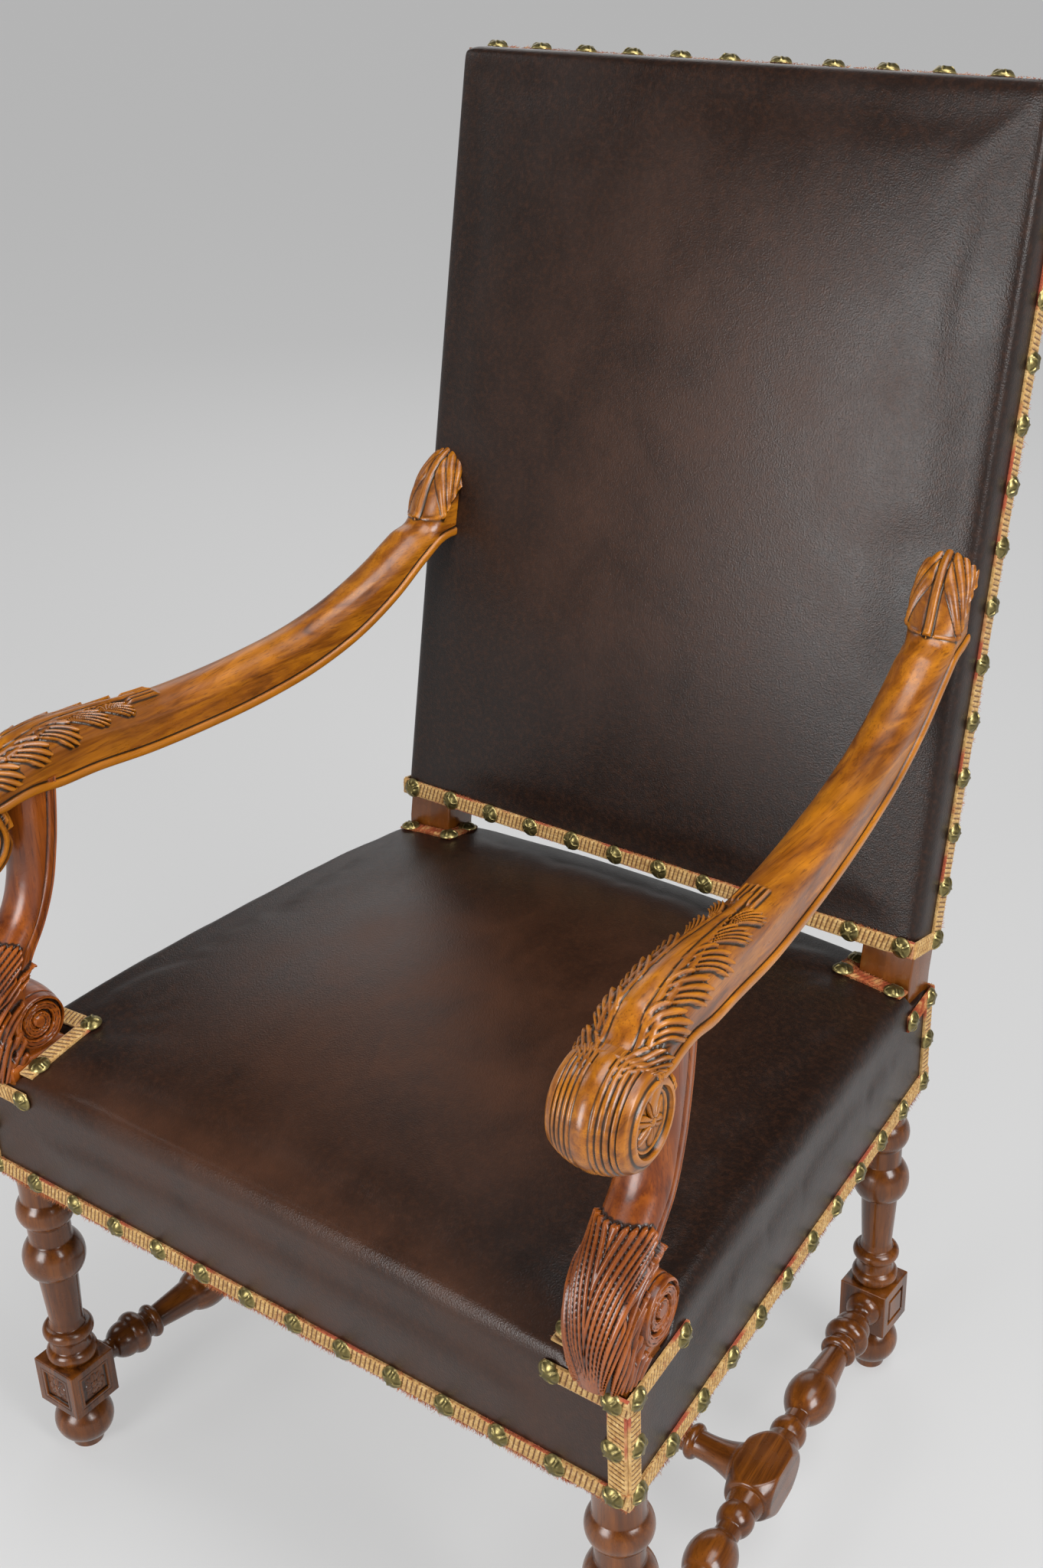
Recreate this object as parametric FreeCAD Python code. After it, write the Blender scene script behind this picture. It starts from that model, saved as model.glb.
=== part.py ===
import FreeCAD, Part
import math
import os

# Upholstered open armchair in turned and carved walnut.
# X to the viewer's right, the chair faces -Y, Z up, millimetres.
# The outlines are set out from the front face of the seat (y = 0) and the
# finished pieces are moved so that the middle of the footprint is the origin.

V = FreeCAD.Vector

# Driving dimensions of the whole chair
back_top = 1150.0
seat_bottom = 323.0
seat_edge_top = 430.0
seat_depth = 546.0
seat_half_front = 326.5
seat_half_rear = 274.5
back_gap = 42.0
back_rake = 12.0

# Legs
leg_half_front = 25.0
leg_half_rear = 23.0
foot_height = 53.0
cube_height = 49.0
front_leg_inset = 0.5
front_leg_setback = 1.0
panel_half = 14.0
panel_depth = 2.5
panel_groove = 3.0

# Rear posts and the back frame
post_width = 48.0
post_depth = 38.0
back_rail_height = 60.0
kink_above_seat_edge = 10.0

# Seat frame
stuffing_edge = 22.6
rail_thickness = 28.0

# Joints
tenon_thickness = 11.0
tenon_length = 22.0
tenon_shoulder = 13.0
dowel_radius = 8.0
dowel_length = 18.0
joint_clearance = 0.2
joint_end_gap = 0.8

# Stretchers
stretcher_half = 21.0
stretcher_lift = 2.5
block_length = 66.0

# Upholstery layers
leather = 2.0
layer_gap = 0.3
web_thickness = 1.0
web_width = 50.0
hessian_thickness = 0.8
dust_cover_thickness = 1.2
rear_cover_thickness = 1.6
back_edge_pad = 3.2
web_count = 5
back_web_count = 4
back_cross_count = 6

# Cushion shapes
seat_shoulder = 12.0
seat_edge_rise = 18.0
seat_crown_front = 8.0
seat_crown_rear = 15.0
seat_crown_extra = 6.0
back_shoulder = 8.0
back_crown = 24.0
back_least_crown_share = 0.01
shoulder_angles = (0, 45)
edge_angles = (0, 45, 90)
crown_chord_shares = [-1.0, -0.72, -0.43, -0.14, 0.14, 0.43, 0.72, 1.0]
seat_station_shares = [0.12, 0.30, 0.50, 0.70, 0.88]
back_station_shares = [0.00, 0.04, 0.12, 0.28, 0.50, 0.72, 0.88, 0.96, 1.00]

# Trimming
gimp_width = 15.0
gimp_thickness = 2.2
gimp_edge = 1.5
nail_radius = 9.3
nail_height = 4.8
nail_pitch = 49.0
nail_dome_shares = [(1.00, 0.00), (0.55, 1.00)]
nail_sides = 8

# Arms, in the plane of each arm
arm_width = 48.0
arm_bead = 9.0
arm_groove = 2.5
scroll_centre_y = 14.0
scroll_drop = 15.0
scroll_out = 5.5
scroll_radius = 38.0
scroll_half_width = 31.0
scroll_face_share = 0.70
scroll_dish_share = 0.80
scroll_eye_share = 0.28
scroll_recess = 3.0
arm_tenon_width = 14.0
arm_tenon_height = 28.0
arm_dip = 658.0
arm_run_on = 90.0
arm_post_share = 0.178
arm_round_share = 0.85
arm_depth_shares = [0.0, 0.06, 0.12, 0.17, 0.23, 0.33, 0.42, 0.53, 0.64, 0.72, 0.80, 0.86, 0.905, 0.93,
                    0.985, 1.03]
arm_height_shares = [0.006, 0.034, 0.043, 0.041, 0.036, 0.025, 0.023, 0.027, 0.040, 0.060, 0.093, 0.126,
                     0.148, 0.174, 0.196, 0.200]
arm_thick_shares = [0.80, 0.75, 0.84, 1.0, 0.98, 0.93, 0.90, 0.89, 0.86, 0.82, 0.72, 0.62, 0.60, 1.15, 1.44,
                    1.42]
arm_width_shares = [1.22, 1.16, 1.07, 1.0, 0.95, 0.92, 0.91, 0.90, 0.89, 0.90, 0.93, 0.95, 0.96, 0.96, 0.95,
                    0.94]
arm_out_shares = [0.115, 0.115, 0.135, 0.177, 0.204, 0.20, 0.167, 0.125, 0.096, 0.092, 0.092, 0.092, 0.083,
                  0.073, 0.052, 0.031]
arm_tilts = [20, 14, 5, -1, -5, -3, 0, 4, 9, 15, 23, 28, 26, 8, 5, 5]

# Arm supports
support_width = 40.0
support_round_share = 0.80
support_foot_depth = 62.0
support_foot_height = 14.0
volute_centre_y = 40.0
volute_rise = 40.0
volute_out = 2.0
volute_radius = 27.0
volute_half_width = 26.0
volute_recess = 3.0
volute_face_share = 0.86
support_tenon_depth = 15.4
support_top_y = 78.0
support_top_drop = 3.0
support_tenon_rise = 22.0
stem_rise_shares = [0.00, 0.10, 0.22, 0.33, 0.45, 0.56, 0.68, 0.82, 1.09]
stem_place_shares = [0.23, 0.22, 0.14, 0.25, 0.55, 0.865, 1.055, 1.16, 1.28]
stem_depth_shares = [0.71, 0.855, 0.76, 0.61, 0.46, 0.415, 0.44, 0.51, 0.60]
stem_out_shares = [0.0, 0.0, 0.0, 0.0, 0.06, 0.10, 0.10, 0.10, 0.10]
stem_leans = [0, 4, 4, -20, -32, -34, -22, -10, 0]

# Values that follow from the driving dimensions
overrun = 5.0
cube_top = foot_height + cube_height
front_leg_x = seat_half_front - leg_half_front - front_leg_inset
front_leg_y = leg_half_front + front_leg_setback
stretcher_z = foot_height + cube_height / 2 + stretcher_lift
stump_top = seat_edge_top - leather
back_bottom = seat_edge_top + back_gap
scroll_centre_z = arm_dip - scroll_drop
support_top_z = arm_dip - support_top_drop
volute_centre_z = stump_top + volute_rise
turning_height = seat_bottom - cube_top
post_front = seat_depth - leather - post_depth
post_middle = post_front + post_depth / 2
slant = (seat_half_front - seat_half_rear) / seat_depth
slant_angle = math.degrees(math.atan(slant))
slant_stretch = math.sqrt(1 + slant * slant)
post_outer = seat_half_rear - leather
post_inner = post_outer - post_width
rear_leg_x = post_outer - post_width / 2
rail_bottom = seat_bottom + 2 * dust_cover_thickness
rail_top = seat_edge_top - stuffing_edge
pad_bottom = rail_top + 2 * web_thickness + hessian_thickness
kink_z = seat_edge_top + kink_above_seat_edge
rake = math.radians(back_rake)
back_edge = 2 * web_thickness + hessian_thickness + back_edge_pad + leather + layer_gap
back_low = (back_bottom - kink_z) / math.cos(rake)
back_high = (back_top - kink_z) / math.cos(rake)
back_half = seat_half_rear
arm_reach = post_front + arm_run_on
arm_post_height = arm_dip + arm_reach * arm_post_share
arm_axis_front = front_leg_x + slant * front_leg_y
stump_inner = front_leg_x - leg_half_front
stump_back = front_leg_y + leg_half_front
collar_inner = (arm_axis_front + volute_out - slant * volute_centre_y - volute_half_width * slant_stretch
                - layer_gap)
collar_rear = volute_centre_y + volute_radius + volute_half_width * slant + layer_gap
front_rail_mid = leather + rail_thickness / 2
rear_rail_mid = seat_depth - leather - rail_thickness / 2
top_rail_high = back_high - leather - layer_gap
top_rail_low = top_rail_high - back_rail_height
bottom_rail_low = back_low + leather + layer_gap
bottom_rail_high = bottom_rail_low + back_rail_height
gimp_low = seat_bottom + gimp_edge
gimp_high = gimp_low + gimp_width
corner_gimp_top = seat_edge_top - gimp_width - overrun
back_rail_ranges = {
    "back_rail_top": (top_rail_low, top_rail_high),
    "back_rail_bottom": (bottom_rail_low, bottom_rail_high),
}

# Flats of the turned work
turning_sides = 14
scroll_sides = 16
dowel_sides = 12
swell_step_shares = (0.18, 0.36)
rounding_angles = (-90, -60, -30, 0, 30, 60, 90)

# Turned outlines, each row: share of the length, share of the half stock,
# swell of the stretch that leads there as a share of the half stock.
leg_turning_shares = [
    (0.000, 0.76, 0.0),
    (0.063, 0.74, 0.17),
    (0.118, 0.76, -0.05),
    (0.176, 0.66, 0.21),
    (0.204, 0.60, 0.0),
    (0.452, 0.72, 0.0),
    (0.462, 0.90, 0.0),
    (0.624, 0.76, 0.28),
    (0.706, 0.76, 0.0),
    (0.833, 0.80, 0.24),
    (1.000, 0.92, -0.06),
]
foot_turning_shares = [
    (0.000, 0.58, 0.0),
    (0.150, 0.62, 0.0),
    (0.860, 0.70, 0.42),
    (1.000, 0.76, 0.0),
]
stretcher_turning_shares = [
    (0.000, 0.74, 0.0),
    (0.070, 0.60, 0.12),
    (0.110, 0.48, -0.08),
    (0.200, 0.80, 0.12),
    (0.285, 0.60, 0.26),
    (0.315, 0.62, 0.0),
    (0.360, 0.54, 0.20),
    (0.560, 0.74, 0.0),
    (0.575, 0.84, 0.0),
    (0.790, 0.52, 0.34),
    (0.840, 0.52, 0.0),
    (0.940, 0.66, 0.16),
    (1.000, 0.80, 0.0),
]
block_barrel_shares = [
    (0.00, 0.95, 0.0),
    (1.00, 0.95, 0.52),
]
cross_turning_shares = [
    (0.000, 0.92, 0.0),
    (0.035, 0.86, 0.08),
    (0.180, 0.58, -0.10),
    (0.215, 0.56, 0.20),
    (0.520, 0.72, 0.0),
    (0.530, 0.84, 0.0),
    (0.700, 0.50, 0.28),
    (0.770, 0.50, 0.0),
    (1.000, 0.66, 0.36),
]


def swelled(a, b, swell):
    """Points of a circular arc that swells out between two points of an outline."""
    if swell == 0:
        return [b]
    chord = b - a
    out = V(chord.z, 0, -chord.x).normalize()
    opening = 2 * math.atan(2 * abs(swell) / chord.Length)
    steps = 2 + sum(abs(swell) > chord.Length * share for share in swell_step_shares)
    points = []
    for i in range(1, steps + 1):
        angle = opening * (2 * i / steps - 1)
        along = 0.5 * (1 + math.sin(angle) / math.sin(opening))
        lift = (math.cos(angle) - math.cos(opening)) / (1 - math.cos(opening))
        points.append(a + chord * along + out * (swell * lift))
    return points


def flat_face(corners):
    return Part.Face(Part.makePolygon(corners + corners[:1]))


def solid_of_rings(rings, warped=False):
    """A closed solid of flat faces through rings of corners, the ends closed flat."""
    faces = []
    for low, high in zip(rings, rings[1:]):
        count = len(low)
        for k in range(count):
            n = (k + 1) % count
            if not warped:
                faces.append(flat_face([low[k], low[n], high[n], high[k]]))
            elif 2 * k < count:
                faces.append(flat_face([low[k], low[n], high[n]]))
                faces.append(flat_face([low[k], high[n], high[k]]))
            else:
                faces.append(flat_face([low[k], low[n], high[k]]))
                faces.append(flat_face([low[n], high[n], high[k]]))
    for ring in (rings[0], rings[-1]):
        faces.append(flat_face(ring))
    shell = Part.makeShell(faces)
    shell.sewShape()
    solid = Part.makeSolid(shell)
    if solid.Volume < 0:
        solid.reverse()
    return solid


def ring_of(radius, z, sides):
    """Corners of a level polygon about the Z axis."""
    corners = []
    for k in range(sides):
        angle = 2 * math.pi * (k + 0.5) / sides
        corners.append(V(radius * math.cos(angle), radius * math.sin(angle), z))
    return corners


def turned(shares, length, half, sides):
    """A turning on +Z in flats, from an outline given in shares."""
    points = [V(half * shares[0][1], 0, length * shares[0][0])]
    for s, r, swell in shares[1:]:
        points += swelled(points[-1], V(half * r, 0, length * s), half * swell)
    return solid_of_rings([ring_of(p.x, p.z, sides) for p in points])


def box(x0, x1, y0, y1, z0, z1):
    return Part.makeBox(x1 - x0, y1 - y0, z1 - z0, V(x0, y0, z0))


def prism(points, z0, z1):
    """Upright prism over a plan outline."""
    return flat_face([V(x, y, z0) for x, y in points]).extrude(V(0, 0, z1 - z0))


def mirrored(shape):
    return shape.mirror(V(0, 0, 0), V(1, 0, 0))


def both_sides(name, shape):
    """One piece for each side of the chair, mirrored about the middle."""
    return {name + "_right": shape, name + "_left": mirrored(shape)}


def half_width(y, inset=0.0):
    """Half width of the tapering seat at depth y."""
    return seat_half_front - slant * y - inset * slant_stretch


def seat_plan(inset, z0, z1):
    """The tapering plan of the seat as a straight prism."""
    y0 = inset
    y1 = seat_depth - inset
    a = half_width(y0, inset)
    b = half_width(y1, inset)
    return prism([(-a, y0), (a, y0), (b, y1), (-b, y1)], z0, z1)


def side_band(y0, y1, outer, inner, z0, z1):
    """A slanting prism that follows the right side of the seat."""
    points = [(half_width(y0, outer), y0), (half_width(y1, outer), y1),
              (half_width(y1, inner), y1), (half_width(y0, inner), y0)]
    return prism(points, z0, z1)


def back_place(shape):
    """Move a piece drawn upright on the posts' front plane into the raked back."""
    placed = shape.copy()
    placed.rotate(V(0, 0, 0), V(1, 0, 0), -back_rake)
    placed.translate(V(0, post_front, kink_z))
    return placed


def back_point(w, n):
    """Depth and height of a point w up the raked posts and n behind their front."""
    y = post_front + w * math.sin(rake) + n * math.cos(rake)
    z = kink_z + w * math.cos(rake) - n * math.sin(rake)
    return y, z


# Cushion forms

def seat_rise(y):
    """Height of the seat's shoulders and of its crown above them at depth y."""
    t = y / seat_depth
    edge = seat_edge_top + seat_edge_rise * (1 - abs(2 * t - 1) ** 3)
    crown = seat_crown_front * (1 - t) + seat_crown_rear * t + seat_crown_extra * 4 * t * (1 - t)
    return edge, crown


def crowned_section(half, low, top, radius, crown):
    """Half outlines x, height of a padded section, from the left foot over the crown."""
    corners = [(-half, low)]
    for angle in shoulder_angles:
        a = math.radians(angle)
        corners.append((-half + radius * (1 - math.cos(a)), top - radius * (1 - math.sin(a))))
    for share in crown_chord_shares:
        corners.append(((half - radius) * share, top + crown * (1 - share * share)))
    for angle in reversed(shoulder_angles):
        a = math.radians(angle)
        corners.append((half - radius * (1 - math.cos(a)), top - radius * (1 - math.sin(a))))
    return corners + [(half, low)]


def seat_section(y, inset):
    """Cross section of the stuffed seat at depth y, crowned between its shoulders."""
    reach = min(y - inset, seat_depth - inset - y)
    radius = seat_shoulder - inset
    edge, crown = seat_rise(y)
    drop = 0.0
    if reach < radius:
        drop = radius - math.sqrt(radius ** 2 - (radius - reach) ** 2)
    corners = crowned_section(half_width(y, inset), seat_bottom, edge - inset - drop, radius, crown)
    return [V(x, y, z) for x, z in corners]


def seat_form(inset):
    """The stuffed seat drawn in by an even inset, flat underneath."""
    radius = seat_shoulder - inset
    rounding = [radius * (1 - math.cos(math.radians(a))) for a in edge_angles]
    stations = [inset + r for r in rounding]
    stations += [seat_depth * s for s in seat_station_shares]
    stations += [seat_depth - inset - r for r in reversed(rounding)]
    return solid_of_rings([seat_section(y, inset) for y in stations], True)


def back_rise(w):
    """Crown of the back at height w."""
    t = (w - back_low) / (back_high - back_low)
    return back_crown * max(1 - abs(2 * t - 1) ** 3, back_least_crown_share)


def back_section(w, inset, rear):
    """Cross section of the padded back at height w, crowned to the front."""
    corners = crowned_section(back_half - inset, -rear, back_edge - inset, back_shoulder - inset, back_rise(w))
    return [V(x, -depth, w) for x, depth in corners]


def back_form(inset, rear):
    """The padded back drawn in by an even inset, open plane at the rear."""
    low = back_low + inset
    high = back_high - inset
    rings = [back_section(low + (high - low) * s, inset, rear) for s in back_station_shares]
    return solid_of_rings(rings, True)


def seat_surface(x, y):
    """Height of the seat cover at a place on its crown."""
    edge, crown = seat_rise(y)
    return edge + crown * (1 - (x / half_width(y)) ** 2)


def seat_normal(x, y):
    """Upward normal of the seat cover."""
    step = seat_shoulder / 2
    slope_x = (seat_surface(x + step, y) - seat_surface(x - step, y)) / (2 * step)
    slope_y = (seat_surface(x, y + step) - seat_surface(x, y - step)) / (2 * step)
    return V(-slope_x, -slope_y, 1).normalize()


def back_surface(x, w):
    """Depth of the front of the back's cover in the upright back frame."""
    return -back_edge - back_rise(w) * (1 - (x / back_half) ** 2)


def back_normal(x, w):
    """Forward normal of the back's cover in the upright back frame."""
    step = back_shoulder / 2
    slope_x = (back_surface(x + step, w) - back_surface(x - step, w)) / (2 * step)
    slope_w = (back_surface(x, w + step) - back_surface(x, w - step)) / (2 * step)
    return V(slope_x, -1, slope_w).normalize()


# Frame pieces

def side_rail_tenon(grow, end):
    """Tenons of the right side rail, run through from end to end."""
    mid = leather + rail_thickness / 2
    y0 = front_leg_y + leg_half_front - tenon_length - end
    y1 = post_front + tenon_length + end
    half = tenon_thickness / 2 + grow
    z0 = rail_bottom + tenon_shoulder - grow
    z1 = rail_top - tenon_shoulder + grow
    return side_band(y0, y1, mid - half, mid + half, z0, z1)


def cross_rail_tenon(x_inner, y_mid, grow, end):
    """Tenons of a rail that runs across the chair."""
    reach = x_inner + tenon_length + end
    half = tenon_thickness / 2 + grow
    z0 = rail_bottom + tenon_shoulder - grow
    z1 = rail_top - tenon_shoulder + grow
    return box(-reach, reach, y_mid - half, y_mid + half, z0, z1)


def seat_rails():
    front = box(-stump_inner, stump_inner, leather, leather + rail_thickness, rail_bottom, rail_top)
    front = front.fuse(cross_rail_tenon(stump_inner, front_rail_mid, 0, 0)).removeSplitter()
    y1 = seat_depth - leather
    rear = box(-post_inner, post_inner, y1 - rail_thickness, y1, rail_bottom, rail_top)
    rear = rear.fuse(cross_rail_tenon(post_inner, rear_rail_mid, 0, 0)).removeSplitter()
    side = side_band(stump_back, post_front, leather, leather + rail_thickness, rail_bottom, rail_top)
    side = side.fuse(side_rail_tenon(0, 0)).removeSplitter()
    pieces = both_sides("seat_rail", side)
    pieces["seat_rail_front"] = front
    pieces["seat_rail_rear"] = rear
    return pieces


def back_rail_span(w_low, w_high, grow=0.0, end=0.0):
    """Tenons of a back rail between the posts, in the upright back frame."""
    reach = post_inner + tenon_length + end
    half = tenon_thickness / 2 + grow
    mid = post_depth / 2
    return box(-reach, reach, mid - half, mid + half, w_low - grow, w_high + grow)


def back_rails():
    pieces = {}
    for name, (low, high) in back_rail_ranges.items():
        rail = box(-post_inner, post_inner, 0, post_depth, low, high)
        tenon = back_rail_span(low + tenon_shoulder, high - tenon_shoulder)
        pieces[name] = back_place(rail.fuse(tenon).removeSplitter())
    return pieces


def stretcher_line():
    """Ends of the right side stretcher on the leg axes, its length and its turn."""
    start = V(front_leg_x, front_leg_y, stretcher_z)
    end = V(rear_leg_x, post_middle, stretcher_z)
    run = end - start
    return start, run, run.Length


def laid_along(shape, start, run):
    """Lay a shape drawn on +Z along a level run, its Y side up."""
    laid = shape.copy()
    laid.Placement = FreeCAD.Placement(start, FreeCAD.Rotation(V(0, 0, 0), V(0, 0, 1), run, "ZYX"))
    return laid


def pin(radius, first, last):
    """A round tenon on the Z axis, in flats."""
    return solid_of_rings([ring_of(radius, z, dowel_sides) for z in (first, last)])


def stretcher_dowels(grow=0.0, end=0.0):
    """Round tenons at both ends of the right side stretcher."""
    start, run, length = stretcher_line()
    first = leg_half_front - dowel_length - end
    last = length - leg_half_rear + dowel_length + end
    return laid_along(pin(dowel_radius + grow, first, last), start, run)


def cross_dowel(grow=0.0, end=0.0):
    """Round tenons at both ends of the cross stretcher."""
    start, run, length = stretcher_line()
    middle = start + run * 0.5
    reach = middle.x - stretcher_half + dowel_length + end
    return laid_along(pin(dowel_radius + grow, -reach, reach), V(0, middle.y, stretcher_z), V(1, 0, 0))


def side_stretcher():
    """Right side stretcher: turned halves either side of a square block."""
    start, run, length = stretcher_line()
    half_run = (length - block_length) / 2
    clear = leg_half_rear - overrun
    turning = turned(stretcher_turning_shares, half_run - clear, stretcher_half, turning_sides)
    turning.translate(V(0, 0, clear))
    other = turning.mirror(V(0, 0, length / 2), V(0, 0, 1))
    square = box(-stretcher_half, stretcher_half, -stretcher_half, stretcher_half,
                 half_run, length - half_run)
    barrel = turned(block_barrel_shares, block_length, stretcher_half, turning_sides)
    barrel.translate(V(0, 0, half_run))
    block = square.common(barrel)
    whole = laid_along(turning.fuse([other, block]), start, run)
    slab = box(0, 2 * front_leg_x, stump_back, post_middle - leg_half_rear, 0, 2 * stretcher_z)
    whole = whole.common(slab).fuse(stretcher_dowels())
    whole = whole.cut(cross_dowel(joint_clearance, joint_end_gap))
    return whole.removeSplitter()


def cross_stretcher():
    """Turned stretcher between the blocks of the side stretchers."""
    start, run, length = stretcher_line()
    middle = start + run * 0.5
    face = middle.x - stretcher_half
    turning = turned(cross_turning_shares, face + overrun, stretcher_half, turning_sides)
    turning.rotate(V(0, 0, 0), V(0, 1, 0), -90)
    turning.translate(V(face + overrun, middle.y, stretcher_z))
    whole = turning.fuse(mirrored(turning))
    across = V(stretcher_half * length / run.y, 0, 0)
    near = start - across
    far = start + run - across
    between = prism([(-near.x, near.y), (near.x, near.y), (far.x, far.y), (-far.x, far.y)], 0, 2 * stretcher_z)
    return whole.common(between).fuse(cross_dowel()).removeSplitter()


def leg_turning(half):
    """Foot, square block and turned shaft of a leg about its own axis."""
    foot = turned(foot_turning_shares, foot_height, half, turning_sides)
    block = box(-half, half, -half, half, foot_height, cube_top)
    shaft = turned(leg_turning_shares, turning_height, half, turning_sides)
    shaft.translate(V(0, 0, cube_top))
    return foot.fuse([block, shaft])


def panel_recess(half, raised):
    """A sunk square on the +X face of a leg block, or a groove round a raised field."""
    mid = foot_height + cube_height / 2
    p = panel_half
    recess = box(half - panel_depth, half + overrun, -p, p, mid - p, mid + p)
    if raised:
        q = p - panel_groove
        recess = recess.cut(box(half - panel_depth, half + overrun, -q, q, mid - q, mid + q))
    return recess


def turned_about_z(shape, angle):
    copy = shape.copy()
    copy.rotate(V(0, 0, 0), V(0, 0, 1), angle)
    return copy


def front_leg():
    """Right front leg with its stump inside the seat."""
    leg = leg_turning(leg_half_front)
    recess = panel_recess(leg_half_front, False)
    leg = leg.cut([turned_about_z(recess, a) for a in (0, -90, 180)])
    leg.translate(V(front_leg_x, front_leg_y, 0))
    h = leg_half_front
    stump = box(front_leg_x - h, front_leg_x + h, front_leg_y - h, front_leg_y + h, seat_bottom, stump_top)
    leg = leg.fuse(stump.common(seat_plan(leather, seat_bottom, stump_top)))
    leg = leg.cut([side_rail_tenon(joint_clearance, joint_end_gap),
                   cross_rail_tenon(stump_inner, front_rail_mid, joint_clearance, joint_end_gap),
                   stretcher_dowels(joint_clearance, joint_end_gap),
                   support_tenon_low(joint_clearance, joint_end_gap)])
    return leg.removeSplitter()


def rear_leg():
    """Right rear leg and back post in one piece, raked above the seat."""
    leg = leg_turning(leg_half_rear)
    leg = leg.cut(panel_recess(leg_half_rear, True))
    leg.translate(V(rear_leg_x, post_middle, 0))
    bend = post_depth * math.tan(rake / 2)
    top_w = back_high - leather - layer_gap
    outline = [(post_front, seat_bottom), (post_front, kink_z), back_point(top_w, 0),
               back_point(top_w, post_depth), back_point(bend, post_depth),
               (post_front + post_depth, seat_bottom)]
    post = flat_face([V(post_inner, y, z) for y, z in outline]).extrude(V(post_width, 0, 0))
    leg = leg.fuse(post)
    cutters = [side_rail_tenon(joint_clearance, joint_end_gap),
               cross_rail_tenon(post_inner, rear_rail_mid, joint_clearance, joint_end_gap),
               stretcher_dowels(joint_clearance, joint_end_gap),
               arm_tenon(joint_clearance, joint_end_gap)]
    for low, high in back_rail_ranges.values():
        span = back_rail_span(low + tenon_shoulder, high - tenon_shoulder, joint_clearance, joint_end_gap)
        cutters.append(back_place(span))
    return leg.cut(cutters).removeSplitter()


# Arms and their supports, drawn in an upright plane and swung to the seat's taper

def arm_place(shape):
    """Swing a piece drawn about x = 0 onto the line of the right arm."""
    placed = shape.copy()
    placed.rotate(V(0, 0, 0), V(0, 0, 1), slant_angle)
    placed.translate(V(arm_axis_front, 0, 0))
    return placed


def rounded(half, spring, crest):
    """Corners of a rounding from +X over its crest on +Z to -X."""
    corners = []
    for angle in reversed(rounding_angles):
        a = math.radians(angle)
        corners.append(V(half * math.sin(a), 0, spring + (crest - spring) * math.cos(a)))
    return corners


def placed_section(flat, x, y, z, tilt):
    """A section drawn in the XZ plane, turned about X and moved into place."""
    turn = FreeCAD.Rotation(V(1, 0, 0), tilt)
    return [turn.multVec(q) + V(x, y, z) for q in flat]


def arm_section(x, y, z, tilt, thick, width):
    """Moulded section of the arm: flat below, a bead and a groove, a round top."""
    half = width / 2
    inner = half - arm_groove
    low = -thick / 2
    bead = low + arm_bead
    shoulder = thick / 2 - inner * arm_round_share
    flat = [V(-inner, 0, bead), V(-half, 0, bead), V(-half, 0, low), V(half, 0, low),
            V(half, 0, bead), V(inner, 0, bead)]
    flat += rounded(inner, shoulder, thick / 2)
    return placed_section(flat, x, y, z, tilt)


def arm_bar():
    """The swept bar of the arm, run on past the front of the post."""
    stations = zip(arm_out_shares, arm_depth_shares, arm_height_shares, arm_tilts, arm_thick_shares,
                   arm_width_shares)
    sections = []
    for out, depth, height, tilt, thick, width in stations:
        sections.append(arm_section(arm_width * out, arm_reach * depth, arm_dip + arm_reach * height, tilt,
                                    arm_width * thick, arm_width * width))
    return solid_of_rings(sections, True)


def scroll(centre, radius, face_share, half, recess):
    """A rolled scroll end with sunk faces and an eye, on the X axis."""
    barrel = turned([(0, face_share, 0), (1, face_share, 1 - face_share)], 2 * half, radius, scroll_sides)
    barrel.translate(V(0, 0, -half))
    dish = radius * face_share * scroll_dish_share
    eye = radius * face_share * scroll_eye_share
    for low in (half - recess, -half - overrun):
        high = low + recess + overrun
        ring = solid_of_rings([ring_of(dish, z, scroll_sides) for z in (low, high)])
        ring = ring.cut(solid_of_rings([ring_of(eye, z, turning_sides) for z in (low, high)]))
        barrel = barrel.cut(ring)
    barrel.rotate(V(0, 0, 0), V(0, 1, 0), 90)
    barrel.translate(centre)
    return barrel


def arm_tenon(grow=0.0, end=0.0):
    """Tenon of the right arm in the post, square to the raked face."""
    w = (arm_post_height - kink_z) / math.cos(rake)
    half = arm_tenon_width / 2 + grow
    tall = arm_tenon_height / 2 + grow
    x = post_inner + post_width / 2
    return back_place(box(x - half, x + half, -overrun, tenon_length + end, w - tall, w + tall))


def front_of_posts():
    """Everything in front of the posts' raked front plane."""
    size = 2 * back_top
    block = box(-size, size, -size, 0, -size, size)
    return back_place(block)


def arm_body():
    """Right arm without its joints: moulded bar and scrolled end, cut off at the post."""
    roll = scroll(V(scroll_out, scroll_centre_y, scroll_centre_z), scroll_radius, scroll_face_share,
                  scroll_half_width, scroll_recess)
    return arm_place(arm_bar().fuse(roll)).common(front_of_posts())


def arm(body):
    """Right arm with its tenon at the post and its mortise below."""
    whole = body.fuse(arm_tenon()).cut(support_tenon_high(joint_clearance, joint_end_gap))
    return whole.removeSplitter()


def support_tenon_high(grow=0.0, end=0.0):
    """Tenon from the support up into the arm."""
    half = tenon_thickness / 2 + grow
    deep = support_tenon_depth / 2 + grow
    return arm_place(box(-half, half, support_top_y - deep, support_top_y + deep,
                         support_top_z - 2 * tenon_length, arm_dip + support_tenon_rise + end))


def support_tenon_low(grow=0.0, end=0.0):
    """Tenon from the support down into the stump of the leg."""
    half = tenon_thickness / 2 + grow
    return box(front_leg_x - half, front_leg_x + half, front_leg_y - half, front_leg_y + half,
               stump_top - tenon_length - end, volute_centre_z)


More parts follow.
